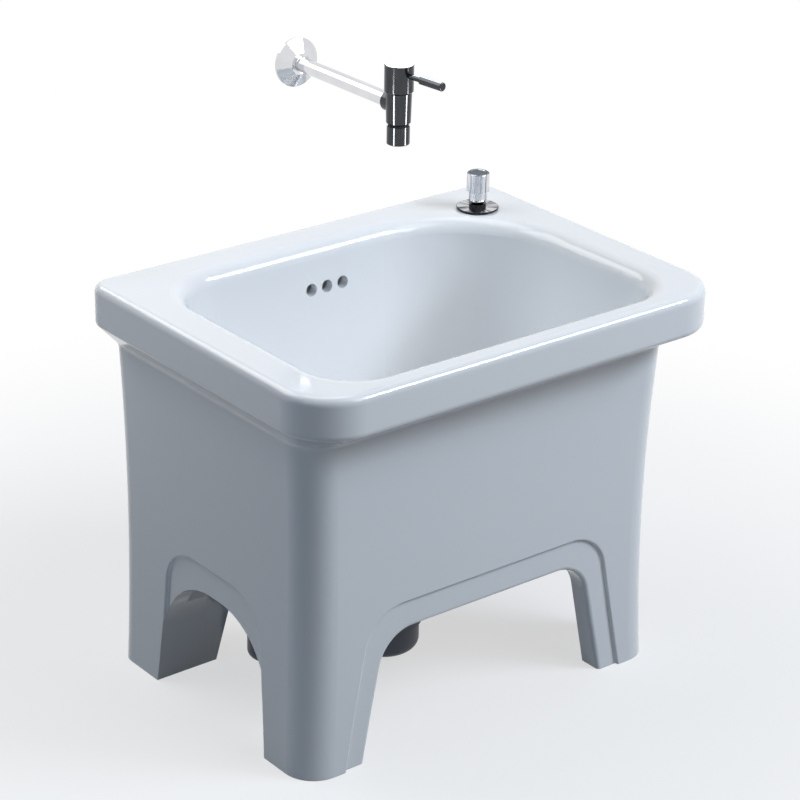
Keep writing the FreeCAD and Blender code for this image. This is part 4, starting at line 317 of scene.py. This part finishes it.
# Trap, lift housing and floor boot
# Moulded in slate grey polypropylene with a fine satin skin, screwed together by grooved nuts.
# The small parts of the lift, the control and the cartridge are black or white plastic, or drawn steel.
SLATE_TONES = ((0.105, 0.118, 0.150), (0.130, 0.145, 0.180))
slate = Finish("slate_plastic")
skin = slate.noise(140.0, 3.0)
slate_plastic = slate.surface(
    base_color=slate.clouded(slate.noise(12.0, 2.0), SLATE_TONES),
    roughness=0.36 + skin * 0.14,
    normal=slate.bump(skin, SKIN_RELIEF, 0.35),
)
dress(slate_plastic, "trap_cup", "trap_head", "trap_inlet_nut", "trap_outlet_nut", "outlet_pipe",
      "floor_boot", "lift_housing", "housing_cover", "slip_ring")

BLACK_PLASTIC_TONES = ((0.020, 0.020, 0.023), (0.034, 0.034, 0.038))
black = Finish("black_plastic")
skin = black.noise(160.0, 3.0)
black_plastic = black.surface(
    base_color=black.clouded(skin, BLACK_PLASTIC_TONES),
    roughness=0.38 + skin * 0.16,
    normal=black.bump(skin, SKIN_RELIEF, 0.3),
)
dress(black_plastic, "lift_crank", "cable_gland", "cable_sheath", "wire_carrier", "control_end_cap")

WHITE_PLASTIC_TONES = ((0.72, 0.72, 0.70), (0.80, 0.80, 0.78))
pale = Finish("white_plastic")
skin = pale.noise(120.0, 3.0)
white_plastic = pale.surface(
    base_color=pale.clouded(skin, WHITE_PLASTIC_TONES),
    roughness=0.40 + skin * 0.15,
)
dress(white_plastic, "aerator", "fixed_disc", "moving_disc")

STEEL_TONES = ((0.46, 0.46, 0.47), (0.62, 0.62, 0.63))
wire = Finish("drawn_steel")
draw = wire.noise(300.0, 2.0)
drawn_steel = wire.surface(
    base_color=wire.clouded(draw, STEEL_TONES),
    metallic=1.0,
    roughness=0.28 + draw * 0.15,
)
dress(drawn_steel, "crank_pin", "pull_wire", "carrier_wire", "knob_grub_screw", "handle_grub_screw")


# Wall tap
# Turned brass parts under a polished chrome with a faint upright grain, on a bright wall stem. The tap's
# chrome is painted near black, a painted dark reflection of the room around it.
TAP_PIECES = ("tap_nozzle", "tap_body", "handle_cap", "lever_rod", "lever_grip")
# Both tones of the grain are painted near black, as a painted dark reflection on the chrome.
TAP_GRAIN_LOW_PAINTED_DARK = (0.25, (0.042, 0.044, 0.049))
TAP_GRAIN_HIGH_PAINTED_DARK = (0.75, (0.074, 0.077, 0.083))
brushed = Finish("brushed_chrome_painted_dark")
strokes = brushed.noise(900.0, 3.0, brushed.stretched((1.0, 1.0, 0.06)))
brushed_chrome_painted_dark = brushed.surface(
    base_color=brushed.ramp(strokes, TAP_GRAIN_LOW_PAINTED_DARK, TAP_GRAIN_HIGH_PAINTED_DARK),
    metallic=1.0,
    roughness=0.10 + strokes * 0.025,
)
dress(brushed_chrome_painted_dark, *TAP_PIECES)


# Studio
# A pale floor that fades to white away from the sink, soft lamps and the photograph's camera.
FLOOR_HALF = 14.0
FLOOR_Z = -0.0004
FLOOR_FADE_START = 0.45
FLOOR_FADE_END = 1.2
FLOOR_WHITE_SHARE = 0.62
FLOOR_LIT_TONE = (0.19, 0.20, 0.22, 1.0)
FLOOR_SEEN_TONE = (0.88, 0.89, 0.90, 1.0)
WHITE = (1.0, 1.0, 1.0)
floor_mesh = bmesh.new()
bmesh.ops.create_grid(floor_mesh, x_segments=1, y_segments=1, size=FLOOR_HALF)
bmesh.ops.translate(floor_mesh, verts=floor_mesh.verts, vec=(0.0, 0.0, FLOOR_Z))
floor_data = bpy.data.meshes.new("floor")
floor_mesh.to_mesh(floor_data)
floor_mesh.free()
floor = bpy.data.objects.new("floor", floor_data)
bpy.context.scene.collection.objects.link(floor)
pale_floor = Finish("pale_floor")
spread = pale_floor.node("ShaderNodeVectorMath", {"operation": "LENGTH"}, {0: pale_floor.place()}, "Value")
fade = {"Value": spread, "From Min": FLOOR_FADE_START, "From Max": FLOOR_FADE_END,
        "To Min": FLOOR_WHITE_SHARE, "To Max": 1.0}
far = pale_floor.node("ShaderNodeMapRange", {"interpolation_type": "SMOOTHSTEP"}, fade)
rays = ("Is Camera Ray", "Is Glossy Ray", "Is Transmission Ray")
camera_ray, glossy_ray, clear_ray = [pale_floor.node("ShaderNodeLightPath", {}, {}, ray) for ray in rays]
seen = camera_ray + glossy_ray + clear_ray
shade = pale_floor.mix(seen, FLOOR_LIT_TONE, FLOOR_SEEN_TONE)
matt = pale_floor.node("ShaderNodeBsdfDiffuse", {}, {"Color": shade})
glow = pale_floor.node("ShaderNodeEmission", {}, {"Color": (*WHITE, 1.0), "Strength": 1.0})
pale_floor.node_out(pale_floor.node("ShaderNodeMixShader", {}, {0: far * seen, 1: matt, 2: glow}))
floor.data.materials.append(pale_floor.material)

ROOM_TINT = (0.72, 0.84, 1.0)
ROOM_STRENGTH = 0.006
world = bpy.data.worlds.new("studio")
bpy.context.scene.world = world
world.use_nodes = True
nodes = world.node_tree.nodes
links = world.node_tree.links
nodes.clear()
lit = nodes.new("ShaderNodeBackground")
lit.inputs["Color"].default_value = (*ROOM_TINT, 1.0)
lit.inputs["Strength"].default_value = ROOM_STRENGTH
shown = nodes.new("ShaderNodeBackground")
shown.inputs["Color"].default_value = (*WHITE, 1.0)
path = nodes.new("ShaderNodeLightPath")
mirrored = nodes.new("ShaderNodeMath")
mirrored.operation = "MAXIMUM"
links.new(path.outputs["Is Glossy Ray"], mirrored.inputs[0])
links.new(path.outputs["Is Transmission Ray"], mirrored.inputs[1])
either = nodes.new("ShaderNodeMath")
either.operation = "MAXIMUM"
links.new(path.outputs["Is Camera Ray"], either.inputs[0])
links.new(mirrored.outputs[0], either.inputs[1])
blend = nodes.new("ShaderNodeMixShader")
links.new(either.outputs[0], blend.inputs[0])
links.new(lit.outputs[0], blend.inputs[1])
links.new(shown.outputs[0], blend.inputs[2])
links.new(blend.outputs[0], nodes.new("ShaderNodeOutputWorld").inputs[0])


def softbox(name, place, target, width, height, power, colour, only_on=()):
    """A soft lamp that faces its target. With only_on it lights those CAD pieces and nothing else."""
    lamp = bpy.data.lights.new(name, "AREA")
    lamp.shape = "RECTANGLE"
    lamp.size = width
    lamp.size_y = height
    lamp.energy = power
    lamp.color = colour
    holder = bpy.data.objects.new(name, lamp)
    holder.location = place
    holder.rotation_euler = (Vector(target) - Vector(place)).to_track_quat("-Z", "Y").to_euler()
    holder.visible_camera = False
    bpy.context.scene.collection.objects.link(holder)
    if only_on:
        lit_pieces = bpy.data.collections.new(name + "_pieces")
        for piece in only_on:
            lit_pieces.objects.link(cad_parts[piece])
        holder.light_linking.receiver_collection = lit_pieces


def beyond(start, direction, away):
    """The place that lies away from a start along a direction."""
    return [place + share * away for place, share in zip(start, direction)]


MIDDLE = (0.0, 0.0, 0.4)
DECK = (0.0, 0.0, 0.5)
softbox("behind_left", (-0.6, 0.9, 1.5), DECK, width=1.2, height=0.8, power=8.5, colour=(0.95, 1.0, 0.98))
softbox("left_high", (-1.2, 0.5, 1.8), DECK, width=1.0, height=1.0, power=3.2, colour=(0.70, 0.75, 1.0))
softbox("above", (0.0, 0.5, 2.4), DECK, width=1.6, height=1.0, power=9.5, colour=(1.0, 0.97, 0.97))
softbox("front_high", (1.2, -2.6, 2.4), MIDDLE, width=1.6, height=1.2, power=23.0, colour=(0.97, 0.99, 1.0))
softbox("front_top", (0.5, -1.3, 2.6), MIDDLE, width=1.4, height=1.0, power=7.0, colour=(1.0, 0.96, 0.90))
softbox("front_right", (2.2, -2.2, 2.6), MIDDLE, width=1.4, height=1.0, power=76.0, colour=(0.72, 0.84, 1.0))
softbox("left", (-3.0, -1.0, 1.5), MIDDLE, width=1.6, height=1.6, power=8.0, colour=(0.42, 0.70, 1.0))

nozzle_low, nozzle_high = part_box("tap_nozzle")
tap_x = (nozzle_low[0] + nozzle_high[0]) / 2.0
tap_y = (nozzle_low[1] + nozzle_high[1]) / 2.0
nozzle_top = (tap_x, tap_y, nozzle_high[2])
cap_top = (tap_x, tap_y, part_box("handle_cap")[1][2])
STRIP_LAMP_AWAY = 1.2
STRIP_LAMP_DROP = 0.53
STRIP_LAMP_BEARINGS = {"left": 189.6, "right": 306.5}
for side, bearing in STRIP_LAMP_BEARINGS.items():
    across = STRIP_LAMP_AWAY * math.cos(math.radians(bearing))
    along = STRIP_LAMP_AWAY * math.sin(math.radians(bearing))
    strip = (tap_x + across, tap_y + along, nozzle_high[2] - STRIP_LAMP_DROP)
    softbox("strip_" + side, strip, nozzle_top, width=0.20, height=0.34, power=6.5, colour=WHITE,
            only_on=TAP_PIECES)
CARD_AWAY = 1.5
CARD_DIRECTION = (0.568, 0.715, 0.407)
card = beyond(cap_top, CARD_DIRECTION, CARD_AWAY)
softbox("card", card, cap_top, width=0.5, height=0.4, power=8.0, colour=WHITE, only_on=TAP_PIECES)
LEDGE_AWAY = 1.2
LEDGE_DIRECTION = (0.159, 0.679, 0.716)
ledge = beyond(cap_top, LEDGE_DIRECTION, LEDGE_AWAY)
softbox("ledge", ledge, cap_top, width=0.3, height=0.36, power=6.0, colour=WHITE, only_on=TAP_PIECES)

CAMERA_PLACE = (-1.84504, -2.31731, 1.68083)
CAMERA_REACH = 100.0
LENS = 122.66
SENSOR_WIDTH = 36.0
YAW = math.radians(38.45)
PITCH = math.radians(24.14)
ROLL = math.radians(0.97)
forward = Vector((math.sin(YAW) * math.cos(PITCH), math.cos(YAW) * math.cos(PITCH), -math.sin(PITCH)))
right = Vector((math.cos(YAW), -math.sin(YAW), 0.0))
upward = right.cross(forward)
rolled_right = right * math.cos(ROLL) + upward * math.sin(ROLL)
rolled_up = upward * math.cos(ROLL) - right * math.sin(ROLL)
turn = Matrix((rolled_right, rolled_up, -forward)).transposed().to_4x4()
camera_data = bpy.data.cameras.new("camera")
camera_data.lens = LENS
camera_data.sensor_width = SENSOR_WIDTH
camera_data.clip_end = CAMERA_REACH
camera = bpy.data.objects.new("camera", camera_data)
camera.matrix_world = Matrix.Translation(CAMERA_PLACE) @ turn
bpy.context.scene.collection.objects.link(camera)
bpy.context.scene.camera = camera
bpy.context.scene.view_settings.view_transform = "Standard"
